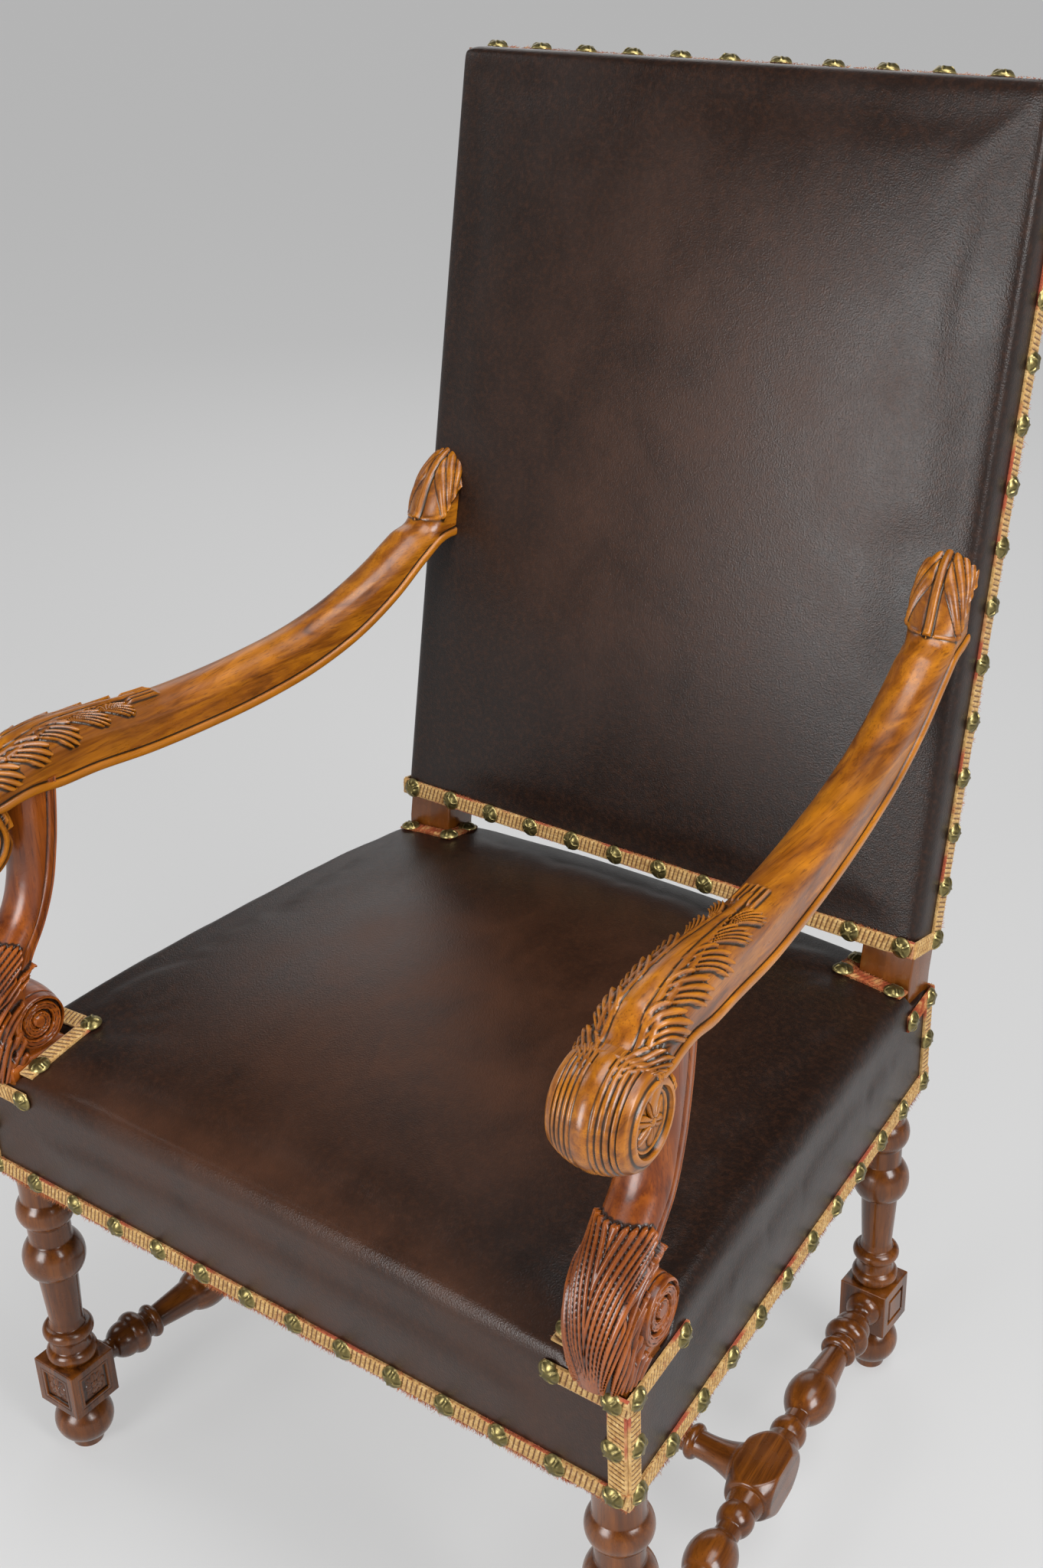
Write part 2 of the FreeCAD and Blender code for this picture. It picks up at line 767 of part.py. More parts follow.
def support_section(x, y, z, depth, lean):
    """Level section of the stem: square behind, rounded in front."""
    half = support_width / 2
    crest = depth / 2
    flat = [V(-half, 0, -crest), V(half, 0, -crest)] + rounded(half, crest - half * support_round_share, crest)
    return placed_section(flat, x, y, z, 90 + lean)


def support_stem():
    """The S-shaped stem with the swell of its carved leaf, rounded in front."""
    rise = support_top_z - stump_top
    stations = zip(stem_out_shares, stem_place_shares, stem_rise_shares, stem_depth_shares, stem_leans)
    sections = []
    for out, place, up, depth, lean in stations:
        sections.append(support_section(support_width * out, support_foot_depth * place, stump_top + rise * up,
                                        support_foot_depth * depth, lean))
    return solid_of_rings(sections, True)


def arm_support(body):
    """Right arm support: stem, volute behind it and a square foot on the stump."""
    stem = support_stem()
    volute = scroll(V(volute_out, volute_centre_y, volute_centre_z), volute_radius, volute_face_share,
                    volute_half_width, volute_recess)
    upper = arm_place(stem.fuse(volute))
    foot = support_foot(0.0, stump_top, stump_top + support_foot_height)
    above = box(0, 2 * front_leg_x, -seat_depth, seat_depth, stump_top, back_top)
    whole = upper.common(above).fuse(foot).cut(body)
    whole = max(whole.Solids, key=lambda piece: piece.Volume)
    return whole.fuse([support_tenon_low(), support_tenon_high()]).removeSplitter()


def support_foot(grow, z0, z1):
    """Plan of the support's square foot at the seat corner."""
    y0 = leather - grow
    y1 = leather + support_foot_depth + grow
    x0 = stump_inner - grow
    points = [(x0, y0), (half_width(y0, leather - grow), y0),
              (half_width(y1, leather - grow), y1), (x0, y1)]
    return prism(points, z0, z1)


def carried_through_seat(grow):
    """What stands up through the seat cover on the right: foot, stump and post."""
    h = leg_half_front + grow
    stump = box(front_leg_x - h, front_leg_x + h, front_leg_y - h, front_leg_y + h, seat_bottom, stump_top)
    stump = stump.common(seat_plan(leather - grow, seat_bottom, stump_top))
    foot = support_foot(grow, stump_top, back_top)
    post = box(post_inner - grow, post_outer + grow, post_front - grow,
               post_front + post_depth + grow, seat_bottom, back_top)
    return [stump, foot, post]


# Seat upholstery

def seat_openings(grow):
    shapes = carried_through_seat(grow)
    return shapes + [mirrored(s) for s in shapes]


def seat_webbing():
    """Straps tacked on top of the rails, front to back and then across."""
    inset = leather + overrun
    plan = seat_plan(inset, rail_top, rail_top + 2 * web_thickness)
    straps = []
    step = 2 * post_inner / web_count
    for i in range(web_count):
        x = -post_inner + step * (i + 0.5)
        straps.append(box(x - web_width / 2, x + web_width / 2, 0, seat_depth,
                          rail_top, rail_top + web_thickness))
    room = post_front - stump_back
    step = room / web_count
    for i in range(web_count):
        y = stump_back + step * (i + 0.5)
        straps.append(box(-seat_half_front, seat_half_front, y - web_width / 2, y + web_width / 2,
                          rail_top + web_thickness, rail_top + 2 * web_thickness))
    return Part.makeCompound([strap.common(plan) for strap in straps])


def seat_sheet(inset, z0, z1):
    """A flat sheet of the seat's plan, cut out round the legs and posts."""
    return seat_plan(inset, z0, z1).cut(seat_openings(layer_gap)).removeSplitter()


def seat_upholstery(supports):
    cutters = seat_openings(layer_gap)
    cover = seat_form(0.0).cut([seat_form(leather)] + cutters).cut(supports)
    room = seat_plan(0.0, pad_bottom, back_bottom)
    stuffing = seat_form(leather + layer_gap).common(room).cut(cutters)
    hessian_low = pad_bottom - hessian_thickness
    return {
        "seat_leather": cover,
        "seat_stuffing": stuffing,
        "seat_hessian": seat_sheet(leather + overrun, hessian_low, pad_bottom),
        "seat_webbing": seat_webbing(),
        "seat_dust_cover": seat_sheet(leather + layer_gap, rail_bottom - dust_cover_thickness, rail_bottom),
    }


# Back upholstery, drawn upright and then raked

def post_blocks(grow):
    shapes = []
    for x in (-post_outer, post_inner):
        shapes.append(box(x - grow, x + post_width + grow, -grow, post_depth,
                          back_low - overrun, back_low + 2 * leather))
    return shapes


def back_webbing():
    """Straps tacked on the front of the back frame, upright and then across."""
    low = bottom_rail_low + gimp_edge
    high = top_rail_high - gimp_edge
    edge = post_outer - gimp_edge
    straps = []
    step = 2 * post_inner / back_web_count
    for i in range(back_web_count):
        x = -post_inner + step * (i + 0.5)
        straps.append(box(x - web_width / 2, x + web_width / 2, -web_thickness, 0, low, high))
    step = (high - low) / back_cross_count
    for i in range(back_cross_count):
        w = low + step * (i + 0.5)
        straps.append(box(-edge, edge, -2 * web_thickness, -web_thickness,
                          w - web_width / 2, w + web_width / 2))
    return Part.makeCompound(straps)


def back_upholstery(arm_ends):
    web_face = -2 * web_thickness
    pad_face = web_face - hessian_thickness
    cover = back_form(0.0, post_depth).cut([back_form(leather, post_depth + overrun)] + post_blocks(layer_gap))
    room = box(-back_half, back_half, -seat_depth, pad_face, back_low, back_high)
    stuffing = back_form(leather + layer_gap, post_depth).common(room)
    low = bottom_rail_low + gimp_edge
    high = top_rail_high - gimp_edge
    edge = post_outer - gimp_edge
    hessian = box(-edge, edge, pad_face, web_face, low, high)
    rear = box(-back_half, back_half, post_depth, post_depth + rear_cover_thickness, back_low, back_high)
    return {
        "back_leather": back_place(cover).cut(arm_ends),
        "back_stuffing": back_place(stuffing).cut(arm_ends),
        "back_hessian": back_place(hessian).cut(arm_ends),
        "back_webbing": back_place(back_webbing()).cut(arm_ends),
        "back_rear_cover": back_place(rear),
    }


# Gimp braid

def seat_gimps():
    """Braid along the lower edge of the seat and up its corners."""
    t = gimp_thickness
    front_reach = half_width(0, -t)
    rear_reach = half_width(seat_depth, -t)
    side = side_band(0, seat_depth, -t, 0, gimp_low, gimp_high)
    pieces = both_sides("seat_gimp", side)
    pieces["seat_gimp_front"] = box(-front_reach, front_reach, -t, 0, gimp_low, gimp_high)
    pieces["seat_gimp_rear"] = box(-rear_reach, rear_reach, seat_depth, seat_depth + t, gimp_low, gimp_high)
    upright = [box(seat_half_front - gimp_width, front_reach, -t, 0, gimp_high, corner_gimp_top),
               side_band(0, gimp_width, -t, 0, gimp_high, corner_gimp_top)]
    pieces.update(both_sides("front_corner_gimp", Part.makeCompound(upright)))
    rear = side_band(seat_depth - gimp_width, seat_depth, -t, 0, gimp_high, corner_gimp_top)
    pieces.update(both_sides("rear_corner_gimp", rear))
    return pieces


def laid_strip(x0, x1, y0, y1):
    """A length of braid laid flat on the crown of the seat."""
    x = (x0 + x1) / 2
    y = (y0 + y1) / 2
    strip = Part.makeBox(x1 - x0, y1 - y0, gimp_thickness, V(x0 - x, y0 - y, 0))
    strip.Placement = FreeCAD.Placement(V(x, y, seat_surface(x, y)),
                                        FreeCAD.Rotation(V(0, 0, 1), seat_normal(x, y))).multiply(strip.Placement)
    return strip


def seat_collars():
    """Braid round the feet of the arm supports and round the posts."""
    t = gimp_thickness
    g = layer_gap
    low = corner_gimp_top
    high = corner_gimp_top + gimp_width
    strip_end = collar_rear + gimp_width
    inner = collar_inner - gimp_width
    foot_collar = [
        box(inner, half_width(0, -t), -t, 0, low, high),
        side_band(0, strip_end, -t, 0, low, high),
        laid_strip(inner, collar_inner, seat_shoulder, collar_rear / 2),
        laid_strip(inner, collar_inner, collar_rear / 2, strip_end),
        laid_strip(collar_inner, half_width(collar_rear, seat_shoulder), collar_rear, strip_end),
    ]
    inner = post_inner - gimp_width
    front = post_front - gimp_width
    post_collar = [
        box(inner, half_width(seat_depth, -t), seat_depth, seat_depth + t, low, high),
        side_band(front, seat_depth, -t, 0, low, high),
        laid_strip(inner, half_width(front, seat_shoulder), front, post_front - g),
        laid_strip(inner, post_inner - g, post_front, seat_depth - seat_shoulder),
    ]
    return foot_collar, post_collar


def back_front_braid():
    """Braid across the foot of the back's front, in the upright back frame."""
    layer = back_form(-gimp_thickness, post_depth).cut(back_form(0.0, post_depth + overrun))
    size = back_half + 2 * gimp_thickness
    band = box(-size, size, -2 * back_crown, post_depth - gimp_width, back_low, back_low + gimp_width)
    return layer.common(band)


def back_gimps(front_braid):
    """Braid along the sides, the top and the lower edges of the back."""
    t = gimp_thickness
    side = box(back_half, back_half + t, post_depth - gimp_width, post_depth, back_low, back_high)
    top = box(-back_half, back_half, post_depth - gimp_width, post_depth, back_high, back_high + t)
    behind = post_depth + rear_cover_thickness
    below = box(-back_half, back_half, behind, behind + t, back_low, back_low + gimp_width)
    pieces = both_sides("back_gimp", back_place(side))
    pieces["back_gimp_top"] = back_place(top)
    pieces["back_gimp_front"] = back_place(front_braid)
    pieces["back_gimp_rear"] = back_place(below)
    return pieces


# Domed nails

def nail_form():
    """One low faceted dome on +Z."""
    rings = [ring_of(nail_radius * r, nail_height * h, nail_sides) for r, h in nail_dome_shares]
    return solid_of_rings(rings)


def nail(place, normal, form):
    head = form.copy()
    head.Placement = FreeCAD.Placement(place, FreeCAD.Rotation(V(0, 0, 1), normal))
    return head


def nail_spots(a, b):
    """Evenly spaced places from a to b, both ends included."""
    count = max(1, round((b - a).Length / nail_pitch))
    return [a + (b - a) * (i / count) for i in range(count + 1)]


def nail_run(a, b, normal, form):
    """A row of nails from a to b."""
    return [nail(spot, normal, form) for spot in nail_spots(a, b)]


def seated_nail(braid, above, form):
    """A nail set down from a point above onto the nearest face of the braid."""
    spot = braid.distToShape(Part.Vertex(above))[1][0][0]
    return nail(spot, above - spot, form)


def seat_side_point(y, z):
    return V(half_width(y, -gimp_thickness), y, z)


def seat_nails(head, foot_collar, post_collar):
    """Nails on the braid round the lower edge, the corners and the collars of the seat."""
    t = gimp_thickness
    z = gimp_low + gimp_width / 2
    end = nail_radius + gimp_edge
    clear = nail_radius + layer_gap
    side_normal = V(1, slant, 0)
    front_x = seat_half_front - end
    rear_x = seat_half_rear - end
    pieces = {
        "seat_nails_front": nail_run(V(-front_x, -t, z), V(front_x, -t, z), V(0, -1, 0), head),
        "seat_nails_rear": nail_run(V(-rear_x, seat_depth + t, z), V(rear_x, seat_depth + t, z), V(0, 1, 0), head),
    }
    side = nail_run(seat_side_point(end, z), seat_side_point(seat_depth - end, z), side_normal, head)
    middle = (gimp_high + corner_gimp_top) / 2
    upper = corner_gimp_top + gimp_width / 2
    corner = [
        nail(V(front_x, -t, middle), V(0, -1, 0), head),
        nail(seat_side_point(end, middle), side_normal, head),
        nail(V(front_x, -t, upper), V(0, -1, 0), head),
        nail(V(collar_inner - clear, -t, upper), V(0, -1, 0), head),
        nail(seat_side_point(end, upper), side_normal, head),
        nail(seat_side_point(collar_rear + gimp_width / 2, upper), side_normal, head),
    ]
    rear_end = seat_depth - gimp_width / 2
    post = [
        nail(seat_side_point(rear_end, middle), side_normal, head),
        nail(seat_side_point(rear_end, upper), side_normal, head),
        nail(seat_side_point(post_front - gimp_width / 2, upper), side_normal, head),
    ]
    foot_spots = [(collar_inner - clear, seat_shoulder + clear), (collar_inner - clear, collar_rear + clear)]
    post_spots = [(post_inner - clear, post_front - clear), (post_outer - clear, post_front - clear),
                  (post_inner - clear, seat_depth - seat_shoulder - clear)]
    for spots, braid, group in ((foot_spots, foot_collar, corner), (post_spots, post_collar, post)):
        for x, y in spots:
            above = V(x, y, seat_surface(x, y)) + seat_normal(x, y) * (t + overrun)
            group.append(seated_nail(braid, above, head))
    pieces.update(both_sides("seat_nails", Part.makeCompound(side)))
    pieces.update(both_sides("corner_nails", Part.makeCompound(corner)))
    pieces.update(both_sides("post_nails", Part.makeCompound(post)))
    return pieces


def back_nails(head, front_braid):
    """Nails on the braid of the back."""
    t = gimp_thickness
    end = nail_radius + gimp_edge
    n = post_depth - gimp_width / 2
    x = back_half - end
    low = back_low + gimp_width / 2
    high = back_high - end
    side = nail_run(V(back_half + t, n, low), V(back_half + t, n, high), V(1, 0, 0), head)
    top = nail_run(V(-x, n, back_high + t), V(x, n, back_high + t), V(0, 0, 1), head)
    front = []
    for spot in nail_spots(V(-x, 0, low), V(x, 0, low)):
        above = V(spot.x, back_surface(spot.x, low), low) + back_normal(spot.x, low) * (t + overrun)
        front.append(seated_nail(front_braid, above, head))
    behind = post_depth + rear_cover_thickness + t
    rear = nail_run(V(-x, behind, low), V(x, behind, low), V(0, 1, 0), head)
    pieces = both_sides("back_nails", back_place(Part.makeCompound(side)))
    pieces["back_nails_top"] = back_place(Part.makeCompound(top))
    pieces["back_nails_front"] = back_place(Part.makeCompound(front))
    pieces["back_nails_rear"] = back_place(Part.makeCompound(rear))
    return pieces


def build():
    pieces = {}
    pieces.update(both_sides("front_leg", front_leg()))
    pieces.update(both_sides("rear_leg", rear_leg()))
    pieces.update(seat_rails())
    pieces.update(back_rails())
    pieces.update(both_sides("side_stretcher", side_stretcher()))
    pieces["cross_stretcher"] = cross_stretcher()
    body = arm_body()
    pieces.update(both_sides("arm", arm(body)))
    supports = both_sides("arm_support", arm_support(body))
    pieces.update(supports)
    pieces.update(seat_upholstery(list(supports.values())))
    pieces.update(back_upholstery([body, mirrored(body)]))
    pieces.update(seat_gimps())
    foot_collar, post_collar = [Part.makeCompound(strips) for strips in seat_collars()]
    pieces.update(both_sides("arm_base_gimp", foot_collar))
    pieces.update(both_sides("post_base_gimp", post_collar))
    front_braid = back_front_braid()
    pieces.update(back_gimps(front_braid))
    head = nail_form()
    pieces.update(seat_nails(head, foot_collar, post_collar))
    pieces.update(back_nails(head, front_braid))
    return pieces


def as_shape(piece):
    return Part.makeCompound(piece) if isinstance(piece, list) else piece


os.makedirs("parts", exist_ok=True)
chair = {name: as_shape(piece) for name, piece in build().items()}
bounds = Part.makeCompound(list(chair.values())).optimalBoundingBox()
to_origin = V(0, -(bounds.YMin + bounds.YMax) / 2, 0)
for name in sorted(chair):
    shape = chair[name].copy()
    shape.translate(to_origin)
    shape.exportStep("parts/" + name + ".step")
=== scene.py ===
import math
import random

import bmesh
import bpy
import numpy as np
from mathutils import Matrix, Vector


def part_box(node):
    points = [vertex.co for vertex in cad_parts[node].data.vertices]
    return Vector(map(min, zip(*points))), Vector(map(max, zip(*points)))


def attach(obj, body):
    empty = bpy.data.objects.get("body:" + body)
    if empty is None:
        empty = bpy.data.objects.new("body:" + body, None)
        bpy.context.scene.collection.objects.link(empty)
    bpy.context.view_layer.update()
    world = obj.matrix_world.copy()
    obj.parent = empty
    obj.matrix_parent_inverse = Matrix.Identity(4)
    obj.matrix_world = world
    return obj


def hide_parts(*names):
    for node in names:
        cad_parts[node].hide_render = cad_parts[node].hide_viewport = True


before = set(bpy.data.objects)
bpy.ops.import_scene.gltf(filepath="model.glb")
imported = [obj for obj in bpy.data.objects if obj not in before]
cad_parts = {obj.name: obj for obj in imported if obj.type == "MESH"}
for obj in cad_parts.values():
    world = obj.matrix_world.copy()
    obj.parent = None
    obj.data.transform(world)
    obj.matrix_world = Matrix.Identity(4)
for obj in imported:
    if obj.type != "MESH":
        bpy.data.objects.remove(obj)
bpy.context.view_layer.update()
random.seed(7)

# The chair is set out in millimetres from the front face of the seat, as its solids are,
# and moved into the row frame when each piece is made.

gimp_thickness = 2.2
front_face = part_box("seat_gimp_front")[0][1] + gimp_thickness / 1000

# Dimensions repeated from the solids
back_top = 1150.0
seat_bottom = 323.0
seat_edge_top = 430.0
seat_depth = 546.0
seat_half_front = 326.5
seat_half_rear = 274.5
back_gap = 42.0
leg_half_front = 25.0
leg_half_rear = 23.0
foot_height = 53.0
cube_height = 49.0
panel_half = 14.0
panel_depth = 2.5
panel_groove = 3.0
post_width = 48.0
post_depth = 38.0
stretcher_half = 21.0
block_length = 66.0
seat_shoulder = 12.0
back_shoulder = 8.0
back_crown = 24.0
back_edge = 8.3
gimp_width = 15.0
gimp_edge = 1.5
nail_radius = 9.3
nail_height = 4.8
nail_pitch = 49.0
leather = 2.0
layer_gap = 0.3
rear_cover = 1.6
rake = math.radians(12.0)

cube_top = foot_height + cube_height
front_leg_x = 301.0
front_leg_y = 26.0
stretcher_z = 80.0
stump_top = seat_edge_top - leather
back_bottom = seat_edge_top + back_gap
post_front = seat_depth - leather - post_depth
post_middle = post_front + post_depth / 2
slant = (seat_half_front - seat_half_rear) / seat_depth
slant_angle = math.atan(slant)
slant_stretch = math.sqrt(1 + slant * slant)
post_outer = seat_half_rear - leather
post_inner = post_outer - post_width
rear_leg_x = post_outer - post_width / 2
kink_z = seat_edge_top + 10.0
back_low = (back_bottom - kink_z) / math.cos(rake)
back_high = (back_top - kink_z) / math.cos(rake)
back_half = seat_half_rear
arm_axis_front = front_leg_x + slant * front_leg_y
volute_centre = (2.0, 40.0, 468.0)
volute_radius = 27.0
volute_half = 26.0
collar_inner = (arm_axis_front + volute_centre[0] - slant * volute_centre[1] - volute_half * slant_stretch
                - layer_gap)
collar_rear = volute_centre[1] + volute_radius + volute_half * slant + layer_gap
cover_face = post_depth + rear_cover
gimp_low = seat_bottom + gimp_edge
gimp_high = gimp_low + gimp_width
corner_gimp_top = seat_edge_top - gimp_width - 5.0


def half_width(y, inset=0.0):
    """Half width of the tapering seat at depth y."""
    return seat_half_front - slant * y - inset * slant_stretch


def smoothstep(a, b, x):
    """Rises softly from 0 at a to 1 at b."""
    t = np.clip((np.asarray(x, float) - a) / (b - a), 0, 1)
    return t * t * (3 - 2 * t)


def ridge_at(x, middle, width):
    """A soft ridge of height 1 along a line."""
    return np.exp(-((x - middle) / width) ** 2)


def dome(x, radius):
    """Height of a round dome of height 1 at a distance from its middle."""
    return np.sqrt(np.clip(1 - (x / radius) ** 2, 0, 1))


def curve_through(xs, ys, x):
    """Smooth cubic through given values, evaluated at x."""
    xs = np.asarray(xs, float)
    ys = np.asarray(ys, float)
    slopes = np.gradient(ys, xs)
    k = np.clip(np.searchsorted(xs, x) - 1, 0, len(xs) - 2)
    h = xs[k + 1] - xs[k]
    t = (x - xs[k]) / h
    return ((2 * t ** 3 - 3 * t ** 2 + 1) * ys[k] + (t ** 3 - 2 * t ** 2 + t) * h * slopes[k]
            + (3 * t ** 2 - 2 * t ** 3) * ys[k + 1] + (t ** 3 - t ** 2) * h * slopes[k + 1])


# Meshes

def unit(v):
    """Vectors brought to length one."""
    v = np.asarray(v, float)
    return v / np.linalg.norm(v, axis=-1, keepdims=True)


def grid(first, second):
    """The places of a grid's rows and columns, as two arrays."""
    return np.meshgrid(first, second, indexing="ij")


def in_row(points):
    """Points set out in millimetres, moved into the row frame."""
    return points * 0.001 + np.array([0.0, front_face, 0.0])


def array_of(items, key, width=3, kind=float):
    """One property of a mesh's elements, a row for each element."""
    flat = np.empty(len(items) * width, kind)
    items.foreach_get(key, flat)
    return flat.reshape(-1, width)


def mark(mesh, name, values):
    """Writes a value for each point of a mesh, which a material reads by this name."""
    mesh.attributes.new(name, "FLOAT", "POINT").data.foreach_set("value", values)


def linked(name, data):
    """A new object in the scene."""
    obj = bpy.data.objects.new(name, data)
    bpy.context.scene.collection.objects.link(obj)
    return obj


class Shells:
    """Points, faces and texture coordinates of a piece, gathered shell by shell."""

    def __init__(self):
        self.points = []
        self.faces = []
        self.coords = []
        self.count = 0

    def add(self, points, faces, coords=None):
        points = np.asarray(points, float).reshape(-1, 3)
        self.points.append(points)
        self.coords.append(points if coords is None else np.asarray(coords, float).reshape(-1, 3))
        self.faces += [[i + self.count for i in f] for f in faces]
        self.count += len(points)
        return self

    def tube(self, rings, coords=None):
        """Adds a closed shell through rings of points, an array of rows, points and 3."""
        rows, cols = rings.shape[:2]
        faces = grid_faces(rows, cols, True)
        faces.append(list(range(cols)))
        faces.append(list(range((rows - 1) * cols, rows * cols)))
        return self.add(rings, faces, coords)

    def placed(self, move):
        """The same shells with their points moved, their texture coordinates kept."""
        other = Shells()
        other.points = [move(p) for p in self.points]
        other.coords = list(self.coords)
        other.faces = list(self.faces)
        other.count = self.count
        return other

    def join(self, other):
        self.points += other.points
        self.coords += other.coords
        self.faces += [[i + self.count for i in f] for f in other.faces]
        self.count += other.count
        return self


def mirrored(shells):
    return shells.placed(lambda p: p * np.array([-1.0, 1.0, 1.0]))


def grid_faces(rows, cols, wrap=False):
    """Quads of a grid of points, closed round its columns if wrap is true."""
    i, j = grid(np.arange(rows - 1), np.arange(cols if wrap else cols - 1))
    k = (j + 1) % cols
    quads = np.stack([i * cols + j, i * cols + k, (i + 1) * cols + k, (i + 1) * cols + j], -1)
    return quads.reshape(-1, 4).tolist()


def ring_normals(points):
    """Unit normals of rings of points, rows by columns by 3."""
    along = np.gradient(points, axis=0)
    across = np.roll(points, -1, 1) - np.roll(points, 1, 1)
    n = np.cross(across, along)
    return n / np.maximum(np.linalg.norm(n, axis=-1, keepdims=True), 1e-9)


def hollows(mesh, rounds):
    """How far each point lies under its neighbours along its normal, in millimetres."""
    n = len(mesh.vertices)
    points = array_of(mesh.vertices, "co") * 1000
    normals = array_of(mesh.vertex_normals, "vector")
    a, b = array_of(mesh.edges, "vertices", 2, int).T
    degree = np.maximum(np.bincount(a, minlength=n) + np.bincount(b, minlength=n), 1)
    even = points.copy()
    for _ in range(rounds):
        for axis in range(3):
            total = np.bincount(a, even[b, axis], n) + np.bincount(b, even[a, axis], n)
            even[:, axis] = 0.4 * even[:, axis] + 0.6 * total / degree
    return np.einsum("ij,ij->i", even - points, normals)


def mesh_of(name, shells, points, merge, grain=None):
    """A mesh of gathered shells through points in metres, its faces turned outwards."""
    mesh = bpy.data.meshes.new(name)
    mesh.from_pydata(points.tolist(), [], shells.faces)
    if grain is not None:
        layer = mesh.attributes.new("grain", "FLOAT_VECTOR", "POINT")
        layer.data.foreach_set("vector", grain.ravel())
    bm = bmesh.new()
    bm.from_mesh(mesh)
    if merge:
        bmesh.ops.remove_doubles(bm, verts=bm.verts, dist=2e-6)
    bmesh.ops.recalc_face_normals(bm, faces=bm.faces)
    bm.to_mesh(mesh)
    bm.free()
    return mesh


def declare(obj, nodes):
    """Says what a piece rides on and the solids that it replaces."""
    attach(obj, "root")
    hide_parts(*nodes)


def make(name, shells, materials, nodes, sharp, rounds=6, merge=False):
    """One piece from gathered shells, with creases sharper than an angle in degrees."""
    grain = np.concatenate(shells.coords) * 0.001
    mesh = mesh_of(name, shells, in_row(np.concatenate(shells.points)), merge, grain)
    mesh.shade_smooth()
    mesh.set_sharp_from_angle(angle=math.radians(sharp))
    if rounds:
        mark(mesh, "cavity", hollows(mesh, rounds))
    for material in materials:
        mesh.materials.append(material)
    obj = linked(name, mesh)
    declare(obj, nodes)
    return obj


def make_pair(name, shells, material, node, sharp, rounds=6):
    """A piece of the chair's right side and its mirror image for the left side."""
    for side, form in (("_right", shells), ("_left", mirrored(shells))):
        make(name + side, form, [material], [node + side], sharp, rounds)


# Materials

class Graph:
    """Shader nodes of one material."""

    def __init__(self, name):
        self.material = bpy.data.materials.new(name)
        self.material.use_nodes = True
        self.tree = self.material.node_tree
        self.shader = self.tree.nodes["Principled BSDF"]

    def node(self, kind, values=None, **settings):
        n = self.tree.nodes.new("ShaderNode" + kind)
        for key, value in settings.items():
            setattr(n, key, value)
        for key, value in (values or {}).items():
            self.put(n.inputs[key], value)
        return n

    def put(self, socket, value):
        if isinstance(value, bpy.types.NodeSocket):
            self.tree.links.new(value, socket)
        else:
            socket.default_value = value

    def set(self, **values):
        for key, value in values.items():
            self.put(self.shader.inputs[key.replace("_", " ")], value)

    def attribute(self, name):
        return self.node("Attribute", attribute_name=name)

    def stretched(self, vector, scale):
        return self.node("Mapping", {"Vector": vector, "Scale": scale}).outputs["Vector"]

    def noise(self, vector, scale, detail=3.0, roughness=0.5, distortion=0.0):
        return self.node("TexNoise", {"Vector": vector, "Scale": scale, "Detail": detail,
                                      "Roughness": roughness, "Distortion": distortion}).outputs["Fac"]

    def ramp(self, fac, *stops):
        n = self.node("ValToRGB", {"Fac": fac})
        elements = n.color_ramp.elements
        while len(elements) < len(stops):
            elements.new(0.5)
        for e, (place, colour) in zip(elements, stops):
            e.position = place
            e.color = (*colour, 1.0)
        return n.outputs["Color"]

    def span(self, value, a, b, low=0.0, high=1.0):
        return self.node("MapRange", {"Value": value, "From Min": a, "From Max": b,
                                      "To Min": low, "To Max": high}).outputs["Result"]

    def mix(self, fac, a, b):
        n = self.node("Mix", data_type="RGBA", blend_type="MIX")
        self.put(n.inputs[0], fac)
        for socket, value in ((n.inputs[6], a), (n.inputs[7], b)):
            self.put(socket, (*value, 1.0) if isinstance(value, tuple) else value)
        return n.outputs[2]

    def maths(self, operation, a, b=0.0):
        n = self.node("Math", operation=operation)
        self.put(n.inputs[0], a)
        self.put(n.inputs[1], b)
        return n.outputs[0]

    def bump(self, height, strength, distance):
        n = self.node("Bump", {"Height": height, "Strength": strength, "Distance": distance})
        self.put(self.shader.inputs["Normal"], n.outputs["Normal"])


def wood(name, light, middle, dark, hollow_shade_and_wax, gloss, hollow_from, hollow_to):
    """Waxed walnut: long grain, pores, a mottled stain, hollows darkened by painted shade with some dark wax
    in them, and a painted highlight on raised carving.
    """
    g = Graph(name)
    coords = g.attribute("grain").outputs["Vector"]
    long = g.noise(g.stretched(coords, (1.0, 1.0, 0.07)), 70.0, 6.0, 0.62, 0.9)
    figure = g.ramp(long, (0.30, dark), (0.45, middle), (0.66, light))
    blotch = g.noise(coords, 16.0, 4.0, 0.55, 0.4)
    figure = g.mix(g.span(blotch, 0.35, 0.7, 0.0, 0.5), figure, dark)
    pores = g.noise(g.stretched(coords, (1.0, 1.0, 0.035)), 900.0, 2.0)
    figure = g.mix(g.span(pores, 0.56, 0.68, 0.0, 0.55), figure, dark)
    cavity = g.attribute("cavity").outputs["Fac"]
    # Painted shade, with some dark wax, darkens the hollows of the carving by their depth
    figure = g.mix(g.span(cavity, hollow_from, hollow_to, 0.0, 0.92), figure, hollow_shade_and_wax)
    # Painted highlight: points that stand above their neighbours are lightened towards the light tone
    figure = g.mix(g.span(cavity, -0.06, -0.6, 0.0, 0.45), figure, light)
    g.set(Base_Color=figure, Roughness=g.span(g.noise(coords, 45.0, 4.0), 0.3, 0.7, gloss, gloss + 0.16),
          Coat_Weight=0.22, Coat_Roughness=0.16)
    g.bump(g.maths("ADD", pores, long), 0.12, 0.0004)
    return g.material


